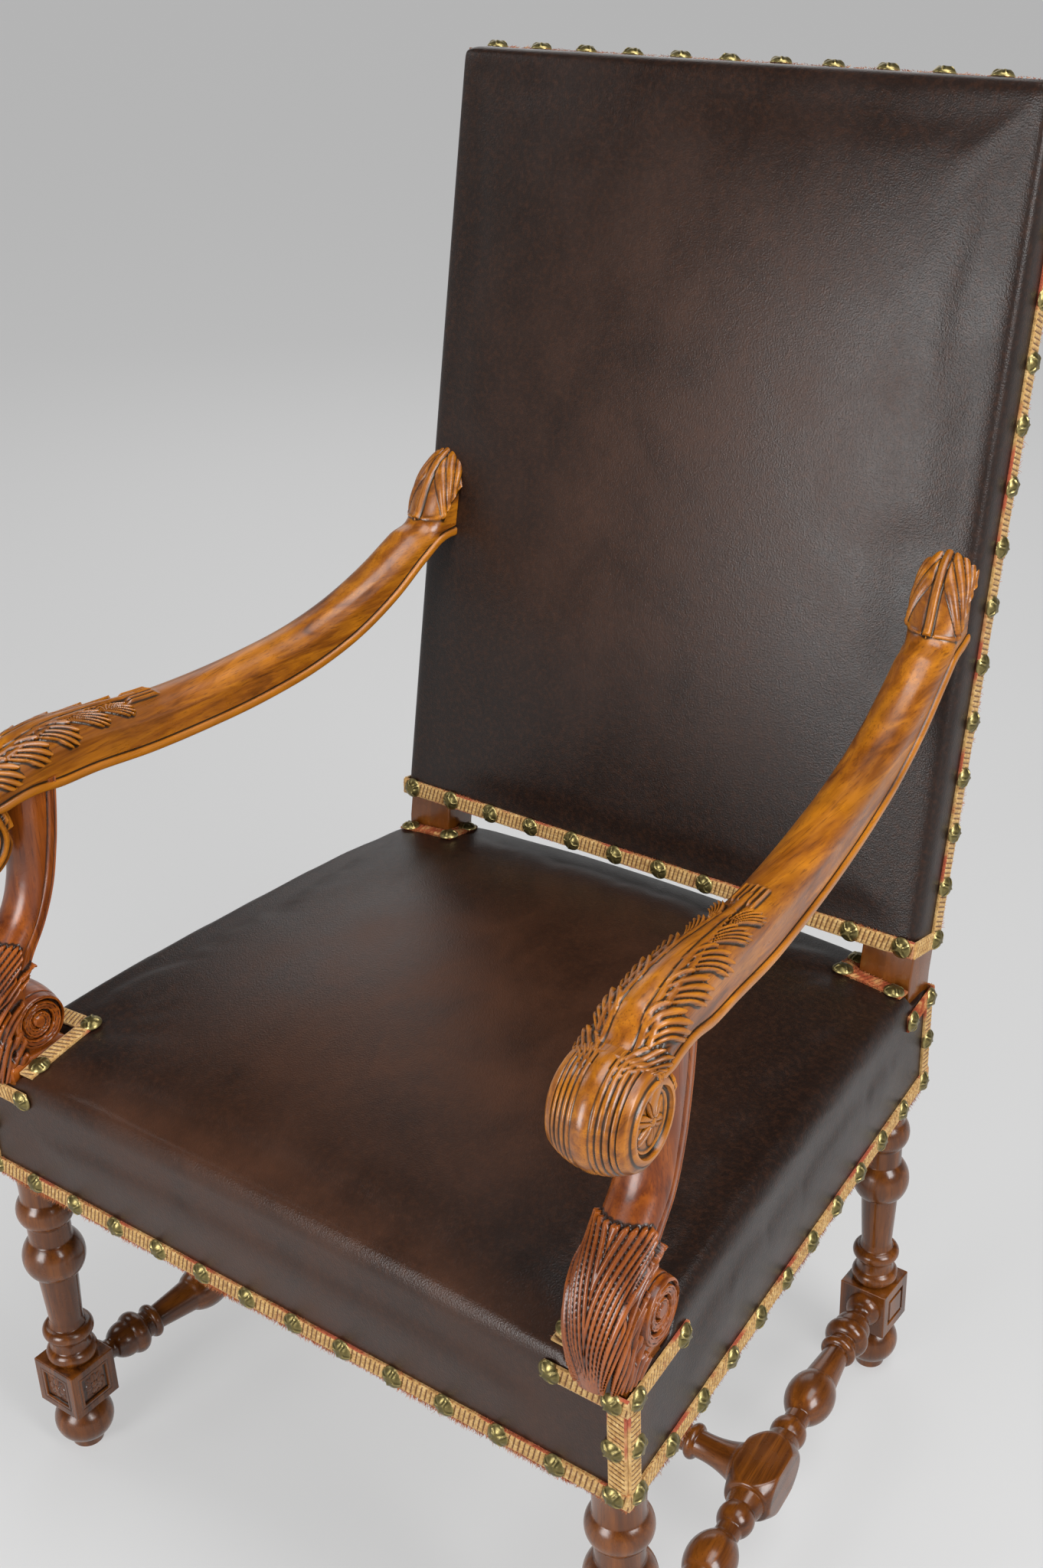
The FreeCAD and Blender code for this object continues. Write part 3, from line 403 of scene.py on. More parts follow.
def leather_finish(name, dark, worn, gloss):
    """Old cow hide: fine pebbles, mottled, worn to red brown in the middle."""
    g = Graph(name)
    coords = g.node("TexCoord").outputs["Object"]
    wear = g.attribute("wear").outputs["Fac"]
    cloud = g.noise(g.stretched(coords, (1.0, 0.7, 0.7)), 15.0, 8.0, 0.66, 0.3)
    patch = g.maths("MULTIPLY", wear, g.span(cloud, 0.15, 0.85))
    colour = g.mix(patch, dark, worn)
    speck = g.noise(coords, 210.0, 3.0, 0.7)
    colour = g.mix(g.span(speck, 0.45, 0.75, 0.0, 0.35), colour, worn)
    pebble = g.node("TexVoronoi", {"Vector": coords, "Scale": 780.0, "Randomness": 1.0}).outputs["Distance"]
    wrinkle = g.noise(coords, 480.0, 4.0, 0.6, 0.3)
    creased = g.maths("ADD", g.maths("MULTIPLY", pebble, 0.8), wrinkle)
    colour = g.mix(g.span(creased, 0.75, 0.45, 0.0, 0.35), colour, (0.012, 0.008, 0.007))
    g.set(Base_Color=colour, Roughness=g.span(cloud, 0.3, 0.7, gloss - 0.05, gloss + 0.07),
          Specular_IOR_Level=0.36)
    g.bump(creased, 0.34, 0.0005)
    return g.material


def braid_finish(name):
    """Tan woven braid with red cords at both edges, and painted shade in the hollows of the weave."""
    g = Graph(name)
    place = g.attribute("grain").outputs["Vector"]
    across = g.node("SeparateXYZ", {"Vector": place}).outputs["Y"]
    tone = g.noise(place, 260.0, 4.0, 0.7)
    tan = g.ramp(tone, (0.30, (0.30, 0.15, 0.045)), (0.5, (0.54, 0.32, 0.11)),
                 (0.72, (0.70, 0.49, 0.22)))
    patch = g.noise(place, 34.0, 2.0)
    tan = g.mix(g.span(patch, 0.60, 0.70, 0.0, 0.5), tan, (0.42, 0.10, 0.05))
    red = g.mix(g.noise(place, 500.0, 2.0), (0.30, 0.035, 0.02), (0.48, 0.13, 0.05))
    worn_off = g.span(g.noise(place, 21.0, 2.0), 0.46, 0.56)
    off_middle = g.maths("ABSOLUTE", g.maths("SUBTRACT", across, gimp_width / 2000))
    edge = g.maths("GREATER_THAN", off_middle, 0.0066)
    colour = g.mix(g.maths("MULTIPLY", edge, worn_off), tan, red)
    cavity = g.attribute("cavity").outputs["Fac"]
    # Painted shade: the hollows of the weave are darkened to a dark brown
    colour = g.mix(g.span(cavity, 0.02, 0.16, 0.0, 0.85), colour, (0.12, 0.042, 0.012))
    g.set(Base_Color=colour, Roughness=0.85, Specular_IOR_Level=0.25, Sheen_Weight=0.25,
          Sheen_Roughness=0.5)
    g.bump(g.noise(place, 1800.0, 2.0), 0.3, 0.0004)
    return g.material


def fray_finish(name):
    """Loose threads from red to tan."""
    g = Graph(name)
    place = g.attribute("grain").outputs["Vector"]
    tone = g.noise(place, 90.0, 3.0)
    colour = g.ramp(tone, (0.32, (0.20, 0.022, 0.010)), (0.50, (0.40, 0.110, 0.040)),
                    (0.64, (0.55, 0.29, 0.11)))
    g.set(Base_Color=colour, Roughness=0.9, Specular_IOR_Level=0.2)
    return g.material


def brass_finish(name):
    """Aged brass with a green brown skin that is thicker in the hollows, and a painted highlight on its
    raised ribs.
    """
    g = Graph(name)
    coords = g.node("TexCoord").outputs["Object"]
    cavity = g.attribute("cavity").outputs["Fac"]
    skin = g.noise(coords, 260.0, 4.0, 0.6)
    metal = g.mix(g.span(skin, 0.35, 0.7), (0.20, 0.155, 0.055), (0.10, 0.085, 0.030))
    metal = g.mix(g.span(cavity, 0.01, 0.14, 0.0, 0.9), metal, (0.045, 0.038, 0.016))
    # Painted highlight: raised ribs and rims are lightened to bright brass
    metal = g.mix(g.span(cavity, -0.03, -0.2, 0.0, 0.8), metal, (0.46, 0.37, 0.15))
    g.set(Base_Color=metal, Metallic=0.85, Roughness=g.span(skin, 0.3, 0.7, 0.26, 0.42))
    g.bump(skin, 0.15, 0.0005)
    return g.material


def cloth_finish(name, light, dark, pitch):
    """Plain woven cloth of two sets of threads."""
    g = Graph(name)
    coords = g.node("TexCoord").outputs["Object"]
    parts = g.node("SeparateXYZ", {"Vector": coords})
    rows = [g.maths("ABSOLUTE", g.maths("SINE", g.maths("MULTIPLY", parts.outputs[axis], math.pi / pitch)))
            for axis in ("X", "Y")]
    weave = g.maths("MULTIPLY", rows[0], rows[1])
    tone = g.noise(coords, 60.0, 5.0, 0.6)
    colour = g.mix(g.maths("MULTIPLY", weave, g.span(tone, 0.3, 0.7, 0.4, 1.0)), dark, light)
    g.set(Base_Color=colour, Roughness=0.92, Specular_IOR_Level=0.2)
    g.bump(weave, 0.5, 0.0005)
    return g.material


# Each walnut: its light, middle, dark and hollow tone (painted shade with some dark wax), its gloss and the
# depths over which its hollows take that painted shade
arm_wood = wood("arm_walnut", (0.55, 0.190, 0.007), (0.29, 0.084, 0.004), (0.090, 0.023, 0.002),
                (0.014, 0.008, 0.002), 0.24, 0.02, 0.26)
support_wood = wood("support_walnut", (0.40, 0.100, 0.008), (0.20, 0.042, 0.004), (0.070, 0.013, 0.002),
                    (0.012, 0.005, 0.002), 0.22, 0.02, 0.26)
leg_wood = wood("leg_walnut", (0.24, 0.070, 0.007), (0.105, 0.027, 0.003), (0.032, 0.008, 0.001),
                (0.008, 0.003, 0.001), 0.17, 0.02, 0.30)
cover = leather_finish("brown_hide", (0.011, 0.0060, 0.0045), (0.082, 0.030, 0.013), 0.34)
rear_hide = leather_finish("rear_hide", (0.020, 0.011, 0.009), (0.07, 0.03, 0.017), 0.48)
braid = braid_finish("tan_braid")
fray = fray_finish("frayed_red")
brass = brass_finish("aged_brass")
dust_cloth = cloth_finish("dust_cloth", (0.36, 0.28, 0.18), (0.12, 0.09, 0.06), 0.0016)


# Turned work

def outline(shares, length, half):
    """Heights and radii of a turning in fine even steps, its corners eased."""
    step = 0.6
    arc_steps = 24
    points = [(0.0, half * shares[0][1])]
    for s, r, swell in shares[1:]:
        a = np.array(points[-1])
        b = np.array([length * s, half * r])
        if swell == 0:
            points.append(tuple(b))
            continue
        chord = b - a
        size = np.hypot(*chord)
        out = np.array([-chord[1], chord[0]]) / size
        opening = 2 * math.atan(2 * abs(swell * half) / size)
        for i in range(1, arc_steps + 1):
            angle = opening * (2 * i / arc_steps - 1)
            along = 0.5 * (1 + math.sin(angle) / math.sin(opening))
            lift = (math.cos(angle) - math.cos(opening)) / (1 - math.cos(opening))
            points.append(tuple(a + chord * along + out * (swell * half * lift)))
    points = np.array(points)
    walk = np.concatenate([[0], np.cumsum(np.hypot(*np.diff(points, axis=0).T))])
    even = np.linspace(0, walk[-1], max(8, int(walk[-1] / step)))
    z = np.interp(even, walk, points[:, 0])
    r = np.interp(even, walk, points[:, 1])
    for values in (r, z, r, z):
        values[1:-1] = 0.25 * values[:-2] + 0.5 * values[1:-1] + 0.25 * values[2:]
    return z, r


def lathe(z, r):
    """Rings of a turning on +Z."""
    sides = 56
    a = np.linspace(0, 2 * math.pi, sides, endpoint=False)
    ring = np.stack([np.cos(a), np.sin(a)], -1)
    rings = np.empty((len(z), sides, 3))
    rings[..., :2] = r[:, None, None] * ring
    rings[..., 2] = z[:, None]
    return rings


# Each step of a turning: its share of the length, its share of the half width and the swell up to it
leg_turning = [(0, .76, 0), (.063, .74, .17), (.118, .76, -.05), (.176, .66, .21), (.204, .60, 0),
               (.452, .72, 0), (.462, .90, 0), (.624, .76, .28), (.706, .76, 0), (.833, .80, .24),
               (1, .92, -.06)]
foot_turning = [(0, .58, 0), (.15, .62, 0), (.86, .70, .42), (1, .76, 0)]
stretcher_turning = [(0, .74, 0), (.07, .60, .12), (.11, .48, -.08), (.20, .80, .12), (.285, .60, .26),
                     (.315, .62, 0), (.36, .54, .20), (.56, .74, 0), (.575, .84, 0), (.79, .52, .34),
                     (.84, .52, 0), (.94, .66, .16), (1, .80, 0)]
cross_turning = [(0, .92, 0), (.035, .86, .08), (.18, .58, -.10), (.215, .56, .20), (.52, .72, 0),
                 (.53, .84, 0), (.70, .50, .28), (.77, .50, 0), (1, .66, .36)]


def rosette(u, v):
    """Depth of a sunk square with a small flower in it."""
    m = np.maximum(np.abs(u), np.abs(v))
    sunk = smoothstep(panel_half + 0.4, panel_half - 0.5, m)
    r = np.hypot(u, v)
    a = np.arctan2(v, u)
    flower = np.zeros_like(r)
    for turn, size, lift in ((0.0, 11.5, 2.1), (math.pi / 4, 12.5, 1.5)):
        reach = r / (size * np.abs(np.cos(2 * (a + turn))) ** 0.7 + 1e-6)
        petal = lift * dome(reach, 1)
        vein = 0.5 * ridge_at(np.sin(2 * (a + turn)) * r, 0, 1.1) * (r > 3)
        flower = np.maximum(flower, petal - vein * (reach < 0.9))
    ring = 0.6 * ridge_at(r, 3.9, 0.5)
    bead = 2.4 * dome(r, 3.0)
    frame_line = -0.5 * ridge_at(m, 17.0, 0.5)
    return -sunk * panel_depth + sunk * np.maximum(flower - ring, bead) + frame_line


def raised_field(u, v):
    """Depth of a groove round a raised square."""
    m = np.maximum(np.abs(u), np.abs(v))
    groove = smoothstep(panel_half + 0.4, panel_half - 0.4, m)
    field = smoothstep(panel_half - panel_groove + 0.4, panel_half - panel_groove - 0.4, m)
    return -panel_depth * groove * (1 - field)


def box_side(size, axis, sign, first, second, easing):
    """One side of a box about the origin: its flat grid, the same eased at the edges, its axes."""
    spans = [i for i in range(3) if i != axis]
    flat = np.empty((len(first), len(second), 3))
    flat[..., axis] = sign
    flat[..., spans[0]], flat[..., spans[1]] = grid(first, second)
    flat = flat * size
    core = np.clip(flat, easing - size, size - easing)
    return flat, core + unit(flat - core) * easing, spans


def block(half, z0, z1, reliefs):
    """A square block with eased edges and relief on some of its faces."""
    size = np.array([half, half, (z1 - z0) / 2])
    shells = Shells()
    for axis in range(3):
        for sign in (-1, 1):
            relief = reliefs.get((axis, sign))
            inner = np.linspace(-0.94, 0.94, 78 if relief else 6)
            t = np.concatenate([[-1, -0.985, -0.965], inner, [0.965, 0.985, 1]])
            flat, p, spans = box_side(size, axis, sign, t, t, 1.1)
            if relief:
                p[..., axis] += sign * relief(flat[..., spans[0]], flat[..., spans[1]])
            p[..., 2] += (z0 + z1) / 2
            shells.add(p, grid_faces(len(t), len(t)))
    return shells


def rounded_box(plan, levels, easing=1.2):
    """Rings of a prism over a plan outline with eased corners, level by level.

    Each level gives a height and how far the outline is drawn in there."""
    pts = np.array(plan, float)
    rings = []
    for z, inset in levels:
        ring = []
        for k, here in enumerate(pts):
            a = unit(pts[k - 1] - here)
            b = unit(pts[(k + 1) % len(pts)] - here)
            corner = here + (a + b) * inset
            ring += [corner + a * easing * s for s in (1.0, 0.45, 0.0)]
            ring += [corner + b * easing * s for s in (0.45, 1.0)]
        rings.append(np.column_stack([ring, np.full(len(ring), z)]))
    return np.stack(rings)


def leg_shells(half, reliefs, x, y):
    """Foot, square block and turned shaft of a leg that stands at x, y."""
    shells = Shells().tube(lathe(*outline(foot_turning, foot_height, half)))
    shells.join(block(half, foot_height, cube_top, reliefs))
    z, r = outline(leg_turning, seat_bottom - cube_top, half)
    shells.tube(lathe(z + cube_top, r))
    return shells.placed(lambda p: p + np.array([x, y, 0.0]))


def post_rings():
    """The rear post: upright to the seat, then raked."""
    easing = 1.6
    middle = (post_inner + post_outer) / 2
    section = []
    for x, y, turn in ((post_outer, post_depth - easing, 0), (post_inner, post_depth - easing, 1),
                       (post_inner, easing, 2), (post_outer, easing, 3)):
        for k in range(5):
            a = math.pi / 2 * (turn + k / 4)
            section.append((x - math.copysign(easing, x - middle) + easing * math.cos(a),
                            y + easing * math.sin(a)))
    x, y = np.array(section).T
    rings = [np.stack([x, post_front + y, z + 0 * x], -1)
             for z in (seat_bottom - 2, seat_bottom + 60, kink_z - 14)]
    rings += [back_place(np.stack([x, y, w + 0 * x], -1))
              for w in (8, 30, 60, 200, 500, back_high - leather - layer_gap)]
    return np.stack(rings)


def build_legs():
    flowers = {(0, 1): rosette, (0, -1): rosette, (1, -1): rosette}
    front = leg_shells(leg_half_front, flowers, front_leg_x, front_leg_y)
    stump = [(276.3, 2.4), (323.9, 2.4), (319.3, 50.7), (276.3, 50.7)]  # plan between the rails
    front.tube(rounded_box(stump, [(seat_bottom - 3, 0), (stump_top - 1, 0), (stump_top, 1)]))
    rear = leg_shells(leg_half_rear, {(0, 1): raised_field}, rear_leg_x, post_middle)
    rear.tube(post_rings())
    for side, move in (("right", lambda s: s), ("left", mirrored)):
        for place, leg in (("front", front), ("rear", rear)):
            make("turned_" + place + "_leg_" + side, move(leg), [leg_wood],
                 [place + "_leg_" + side], sharp=38, merge=True)


def laid(start, run):
    """Lays points drawn on +Z along a level run, their Y axis up."""
    along = unit(run)
    up = np.array([0.0, 0.0, 1.0])
    side = np.cross(up, along)
    return lambda p: start + p[:, :1] * side + p[:, 1:2] * up + p[:, 2:] * along


def soft_least(a, b, power):
    """The lesser of two values, with a smooth change from one to the other."""
    return -np.log(np.exp(-a * power) + np.exp(-b * power)) / power


def stretcher_block(from_start):
    """Rings of the square block in the middle of a side stretcher, turned round at its ends."""
    a = np.linspace(0, 2 * math.pi, 128, endpoint=False)
    s = np.concatenate([[0, 0.4, 1.0], np.linspace(1.8, block_length - 1.8, 60),
                        [block_length - 1.0, block_length - 0.4, block_length]])
    t = s / block_length * 2 - 1
    barrel = stretcher_half * (0.95 + 0.52 * (1 - t * t))
    square = stretcher_half / np.maximum(np.abs(np.cos(a)), np.abs(np.sin(a)))
    square = soft_least(square, stretcher_half * 1.395, 2.2)
    radius = soft_least(square[None, :], barrel[:, None], 3)
    easing = 1.2
    ends = np.minimum(np.minimum(s, block_length - s), easing)
    radius -= (easing - np.sqrt(np.maximum(easing ** 2 - (easing - ends) ** 2, 0)))[:, None]
    return np.stack([radius * np.cos(a), radius * np.sin(a),
                     np.repeat((s + from_start)[:, None], len(a), 1)], -1)


def build_stretchers():
    start = np.array([front_leg_x, front_leg_y, stretcher_z])
    run = np.array([rear_leg_x, post_middle, stretcher_z]) - start
    length = np.linalg.norm(run)
    half_run = (length - block_length) / 2
    in_leg = 18.0
    overlap = 6.0
    z, r = outline(stretcher_turning, half_run - in_leg, stretcher_half)
    z = np.concatenate([[-overlap], z, [z[-1] + overlap]])
    r = np.concatenate([[r[0]], r, [r[-1]]])
    side = Shells().tube(lathe(z + in_leg, r)).tube(lathe(length - in_leg - z, r))
    side = side.tube(stretcher_block(half_run)).placed(laid(start, run))
    middle = start + run / 2
    root = middle[0] - stretcher_half + 5.0
    cross = Shells().tube(lathe(*outline(cross_turning, root, stretcher_half)))
    cross = cross.placed(lambda p: np.stack([root - p[:, 2], middle[1] + p[:, 0],
                                             stretcher_z + p[:, 1]], -1))
    cross.join(mirrored(cross))
    make_pair("turned_side_stretcher", side, leg_wood, "side_stretcher", 38)
    make("turned_cross_stretcher", cross, [leg_wood], ["cross_stretcher"], 38)


# Carving, as heights over a surface in millimetres

# Place along the arm and length of each lobe of its leaf
arm_lobes = [(-38, 64), (-4, 64), (31, 62), (67, 58), (104, 52), (138, 44)]


def lobe(a, b, root, length, low, high, bend, flutes):
    """Height of one fluted lobe of a leaf that fans out and back from its root."""
    da = a - root[0]
    db = b - root[1]
    reach = np.hypot(da, db) / length
    share = (np.arctan2(db, da) - bend * reach - low) / (high - low)
    inner = np.clip(share, 0, 1)
    ridge = np.abs(np.sin(math.pi * flutes * inner)) ** 0.75
    edge = (0.70 + 0.30 * np.sqrt(np.sin(math.pi * np.clip(inner, 0.02, 0.98)))) * (0.84 + 0.16 * ridge)
    inside = (smoothstep(edge + 0.012, edge - 0.012, reach) * smoothstep(-0.04, 0.02, share)
              * smoothstep(1.04, 0.98, share))
    body = 1.8 + 3.2 * np.clip(reach, 0, 1) ** 1.4
    return inside * (body - 2.7 * (1 - ridge) * smoothstep(0.03, 0.25, reach))


def ridges(g, pitch, depth):
    """Rounded parallel flutes."""
    return depth * (np.abs(np.sin(math.pi * g / pitch)) ** 0.55)


def hole(a, b, at, turn, long, wide, depth):
    """A small drilled eye."""
    c, s = math.cos(turn), math.sin(turn)
    p = (a - at[0]) * c + (b - at[1]) * s
    q = -(a - at[0]) * s + (b - at[1]) * c
    return -depth * np.exp(-((p / long) ** 2 + (q / wide) ** 2) ** 1.5)


def arm_leaf(s, g):
    """The long leaf on the front of the arm: s runs back from the top of the roll, g across."""
    g = np.abs(g)
    rib = 2.0 + 4.6 * smoothstep(180, -20, s)
    height = np.where(g < rib, 3.4 * (1 - 0.35 * (g / rib) ** 2) * smoothstep(208, 190, s), 0.0)
    band = rib + 8.4 * smoothstep(185, 60, s)
    inner = ridges(g - rib, 4.2, 1.9) + 1.1
    height = np.where((g >= rib) & (g < band) & (s < 186), inner, height)
    front = np.where(g - rib < 17.4, ridges(g - rib, 4.35, 2.0), 2.0) + 1.0
    front = front * smoothstep(30.5, 29.0, g) * smoothstep(34, 12, s)
    height = np.where(g >= rib, np.maximum(height, front), height)
    for at, size in arm_lobes:
        fan = lobe(s, g, (at, 6.0), size, -0.24, 0.24 if at < 100 else 0.12, 0.34, 5)
        height = np.maximum(height, np.where(g >= rib + 0.4, fan, 0))
    for at, size in arm_lobes[1:]:
        height = height + hole(s, g, (at + 0.50 * size, 22.0 - 0.03 * at), 0.45, 6.0, 1.6, 4.2)
    tip = smoothstep(214, 206, s) * smoothstep(9, 7.5, g) * smoothstep(178, 186, s)
    height = np.maximum(height, tip * (3.4 - 2.0 * np.abs(np.sin(g * 0.9))))
    return height * smoothstep(222, 208, s)


def rear_leaf(q, g):
    """The small leaf against the post: q runs forward from the post, g across."""
    g = np.abs(g)
    length = 84.0
    half = 37.0 * dome(q, length) * (1 + 0.10 * smoothstep(0, 50, q))
    inside = smoothstep(0.6, -0.6, g - half) * (q < length + 2)
    angle = np.arctan2(g, q + 26.0)
    reach = np.hypot(g, q + 26.0)
    curl = angle - 0.0075 * (reach - 60)
    veins = np.abs(np.sin(math.pi * 6.0 * np.clip(curl, 0, 2) / 1.25)) ** 0.6
    rim = ridge_at(g, half - 2.0, 1.1)
    rib = ridge_at(g, 0, 2.1)
    cut = 2.4 * (1 - veins) * smoothstep(2.0, 4.0, g)
    return inside * (2.9 + 0.7 * rim + 0.9 * rib - cut - 1.2 * ridge_at(g, 3.4, 0.9))


arm_reach = post_front + 90.0
arm_dip = 658.0
arm_width = 48.0
arm_shares = {
    "depth": [0.0, 0.06, 0.12, 0.17, 0.23, 0.33, 0.42, 0.53,
              0.64, 0.72, 0.80, 0.86, 0.905, 0.93, 0.985, 1.03],
    "height": [0.006, 0.034, 0.043, 0.041, 0.036, 0.025, 0.023, 0.027,
               0.040, 0.060, 0.093, 0.126, 0.148, 0.174, 0.196, 0.200],
    "thick": [0.80, 0.75, 0.84, 1.0, 0.98, 0.93, 0.90, 0.89,
              0.86, 0.82, 0.72, 0.62, 0.60, 1.15, 1.44, 1.42],
    "width": [1.27, 1.24, 1.15, 1.05, 0.97, 0.92, 0.91, 0.90,
              0.89, 0.90, 0.93, 0.95, 0.96, 0.96, 0.95, 0.94],
    "out": [0.115, 0.115, 0.135, 0.177, 0.204, 0.20, 0.167, 0.125,
            0.096, 0.092, 0.092, 0.092, 0.083, 0.073, 0.052, 0.031],
    "tilt": [20, 14, 5, -1, -5, -3, 0, 4, 9, 15, 23, 28, 26, 8, 5, 5],
}
roll_centre = (5.5, 14.0, 643.0)
roll_radius = 38.0
roll_half = 31.0
roll_face_share = 0.70

# Girth given to points of a section that carry no leaf, and the girth where leaves end
no_leaf = 99.0
leaf_end = 60


def mirrored_section(crown, flank, corner, low, girth, flank_girth):
    """A section from its crown and its right side, with the girth of each point."""
    flip = np.array([-1, 1])
    section = np.concatenate([crown, flank, corner, [[0, low]], (corner * flip)[::-1],
                              (flank * flip)[::-1]])
    bare = np.full(2 * len(corner) + 1, no_leaf)
    return section, np.concatenate([girth, flank_girth, bare, -flank_girth[::-1]])


def arm_ring(depth):
    """Base points of the arm's section at a depth share, with the girth of each point."""
    place = {k: float(curve_through(arm_shares["depth"], arm_shares[k], np.array([depth]))[0])
             for k in ("height", "thick", "width", "tilt", "out")}
    low = -arm_width * place["thick"] / 2
    half = arm_width / 2 * place["width"]
    inner = half - 2.5
    spring = -low - inner * 0.85
    bead = low + 9.0
    angles = np.linspace(-math.pi / 2, math.pi / 2, 93)
    crown = np.stack([inner * np.sin(angles), spring + inner * 0.85 * np.cos(angles)], -1)
    girth = 0.926 * inner * angles
    down = np.linspace(0, 1, 22)[1:]
    flank = np.stack([np.full(len(down), inner), spring + (bead - spring) * down], -1)
    moulding = np.array([[inner - 0.6, bead - 0.5], [inner - 0.6, bead - 1.4], [inner + 0.8, bead - 1.9],
                         [half - 0.5, bead - 2.6], [half, bead - 4.0], [half, low + 2.0],
                         [half - 0.7, low + 0.7], [half - 2.2, low], [half * 0.5, low]])
    section, g = mirrored_section(crown, flank, moulding, low, girth, girth[-1] + (spring - bead) * down)
    tilt = math.radians(place["tilt"])
    y = arm_reach * depth - section[:, 1] * math.sin(tilt)
    z = arm_dip + arm_reach * place["height"] + section[:, 1] * math.cos(tilt)
    return np.stack([section[:, 0] + arm_width * place["out"], y, z], -1), g


def arm_place(points):
    """Swings points drawn about x = 0 onto the line of the right arm."""
    c, s = math.cos(slant_angle), math.sin(slant_angle)
    return np.stack([arm_axis_front + c * points[..., 0] - s * points[..., 1],
                     s * points[..., 0] + c * points[..., 1], points[..., 2]], -1)


def behind_post_front(points):
    """How far points lie behind the posts' raked front plane."""
    return (points[..., 1] - post_front) * math.cos(rake) - (points[..., 2] - kink_z) * math.sin(rake)


def barrel_radius(half, sag):
    """Radius of the arc that sags so far at half its width."""
    return (half * half + sag * sag) / (2 * sag)


def drawn_to_roll(ring):
    """Brings the crown of the bar's first sections to the height of the roll."""
    across = np.clip(np.abs(ring[:, 0] - roll_centre[0]), 0, roll_half)
    big = barrel_radius(roll_half, roll_radius * (1 - roll_face_share))
    crown = roll_centre[2] + roll_radius - big + np.sqrt(big ** 2 - across ** 2)
    share = (smoothstep(roll_centre[1] + 34, roll_centre[1] + 6, ring[:, 1])
             * smoothstep(roll_centre[2] + 6, roll_centre[2] + 20, ring[:, 2]))
    ring = ring.copy()
    ring[:, 2] += share * (crown - ring[:, 2])
    return ring


def cut_at_post(base, depths, free):
    """The bar's rings drawn in beyond the share that stays free, so that they end on the post's face."""
    away = behind_post_front(base)
    kept = []
    for j in range(base.shape[1]):
        over = np.argmax(away[:, j] > 0)
        stop = depths[over - 1] + (depths[over] - depths[over - 1]) * (-away[over - 1, j]) / (
            away[over, j] - away[over - 1, j])
        drawn = free + (depths - free) * (stop - free) / (depths[-1] - free)
        wanted = np.where(depths < free, depths, drawn)
        kept.append(np.stack([np.interp(wanted, depths, base[:, j, k]) for k in range(3)], -1))
    return np.stack(kept, 1)


def arm_bar():
    """The moulded bar of the right arm with both its leaves."""
    free = 0.80
    depths = np.concatenate([np.linspace(0.012, 0.40, 330, endpoint=False),
                             np.linspace(0.40, free, 90, endpoint=False), np.linspace(free, 1.03, 190)])
    sections = [arm_ring(d) for d in depths]
    base = arm_place(np.stack([drawn_to_roll(ring) for ring, _ in sections]))
    base = cut_at_post(base, depths, free)
    crest = 46
    normals = -ring_normals(base)
    if (normals[:, crest, 2] < 0).mean() > 0.5:
        normals = -normals
    middle = base[:, crest]
    walk = np.concatenate([[0], np.cumsum(np.linalg.norm(np.diff(middle, axis=0), axis=1))])
    cols = np.ones(base.shape[1])
    s = (walk + middle[0, 1] - roll_centre[1])[:, None] * cols
    q = (walk[-1] - walk)[:, None] * cols
    g = np.ones(len(depths))[:, None] * sections[-1][1]
    carve = np.maximum(np.maximum(arm_leaf(s, g), 0), rear_leaf(q, g)) - 7.0 * smoothstep(1.0, -9.0, s)
    return base + normals * (carve * (np.abs(g) < leaf_end))[..., None], base[..., [0, 2, 1]]


def barrel_profile(half, face_share, radius, face_points):
    """Places across, radii and kinds of a roll's outline from the middle of one face to the other."""
    big = barrel_radius(half, radius * (1 - face_share))
    x = np.linspace(-half, half, 86)
    r = radius - (big - np.sqrt(big * big - x * x))
    face_r = np.linspace(0.35, r[0] - 0.6, face_points)
    side = np.ones(face_points)
    xs = np.concatenate([-half * side, x[1:-1], half * side])
    rs = np.concatenate([face_r, r[1:-1], face_r[::-1]])
    return xs, rs, np.concatenate([-side, np.zeros(len(x) - 2), side])


def roll(centre, half, face_share, radius, face_relief, skin_relief, sides):
    """A scroll end about the X axis with carved faces and skin."""
    xs, rs, kind = barrel_profile(half, face_share, radius, 34)
    turn = np.linspace(0, 2 * math.pi, sides, endpoint=False)
    x, t = grid(xs, turn)
    r = rs[:, None] * np.ones(sides)
    kind = kind[:, None]
    x = x + np.where(kind != 0, kind * face_relief(r, t), 0)
    r = r + np.where(kind != 0, 0, skin_relief(t, x))
    y = centre[1] - r * np.sin(t)
    z = centre[2] + r * np.cos(t)
    return arm_place(np.stack([x + centre[0], y, z], -1)), np.stack([x, z, y], -1)


def arm_roll_face(r, t):
    """A six-petalled flower sunk into the face of the arm's roll."""
    field = 23.8
    petals = np.abs(np.cos(3.0 * t)) ** 0.6
    reach = r / (18.5 * petals + 1e-6)
    flower = 3.4 * dome(reach, 1) * (r > 3)
    vein = 1.5 * ridge_at(np.sin(3.0 * t) * r, 0, 1.5) * (reach < 0.95)
    bead = 4.2 * dome(r, 4.6)
    ring = 1.6 * ridge_at(r, 20.2, 0.9)
    sunk = -4.4 + np.maximum(np.maximum(flower - vein, bead), ring)
    return np.where(r < field, sunk * (1 - smoothstep(22.6, field, r)), 0.0)


def arm_roll_skin(t, x):
    """The arm's leaf where it runs down over the roll."""
    turn = np.where(t > 4.7, t - 2 * math.pi, t)
    leaf = arm_leaf(-roll_radius * turn, x * 1.06)
    return leaf * smoothstep(30.4, 29.4, np.abs(x)) * smoothstep(4.7, 4.4, np.abs(turn))


def build_arms():
    shells = Shells().tube(*arm_bar())
    shells.tube(*roll(roll_centre, roll_half, roll_face_share, roll_radius, arm_roll_face, arm_roll_skin,
                      300))
    make_pair("carved_arm", shells, arm_wood, "arm", 50, rounds=8)


# Arm supports

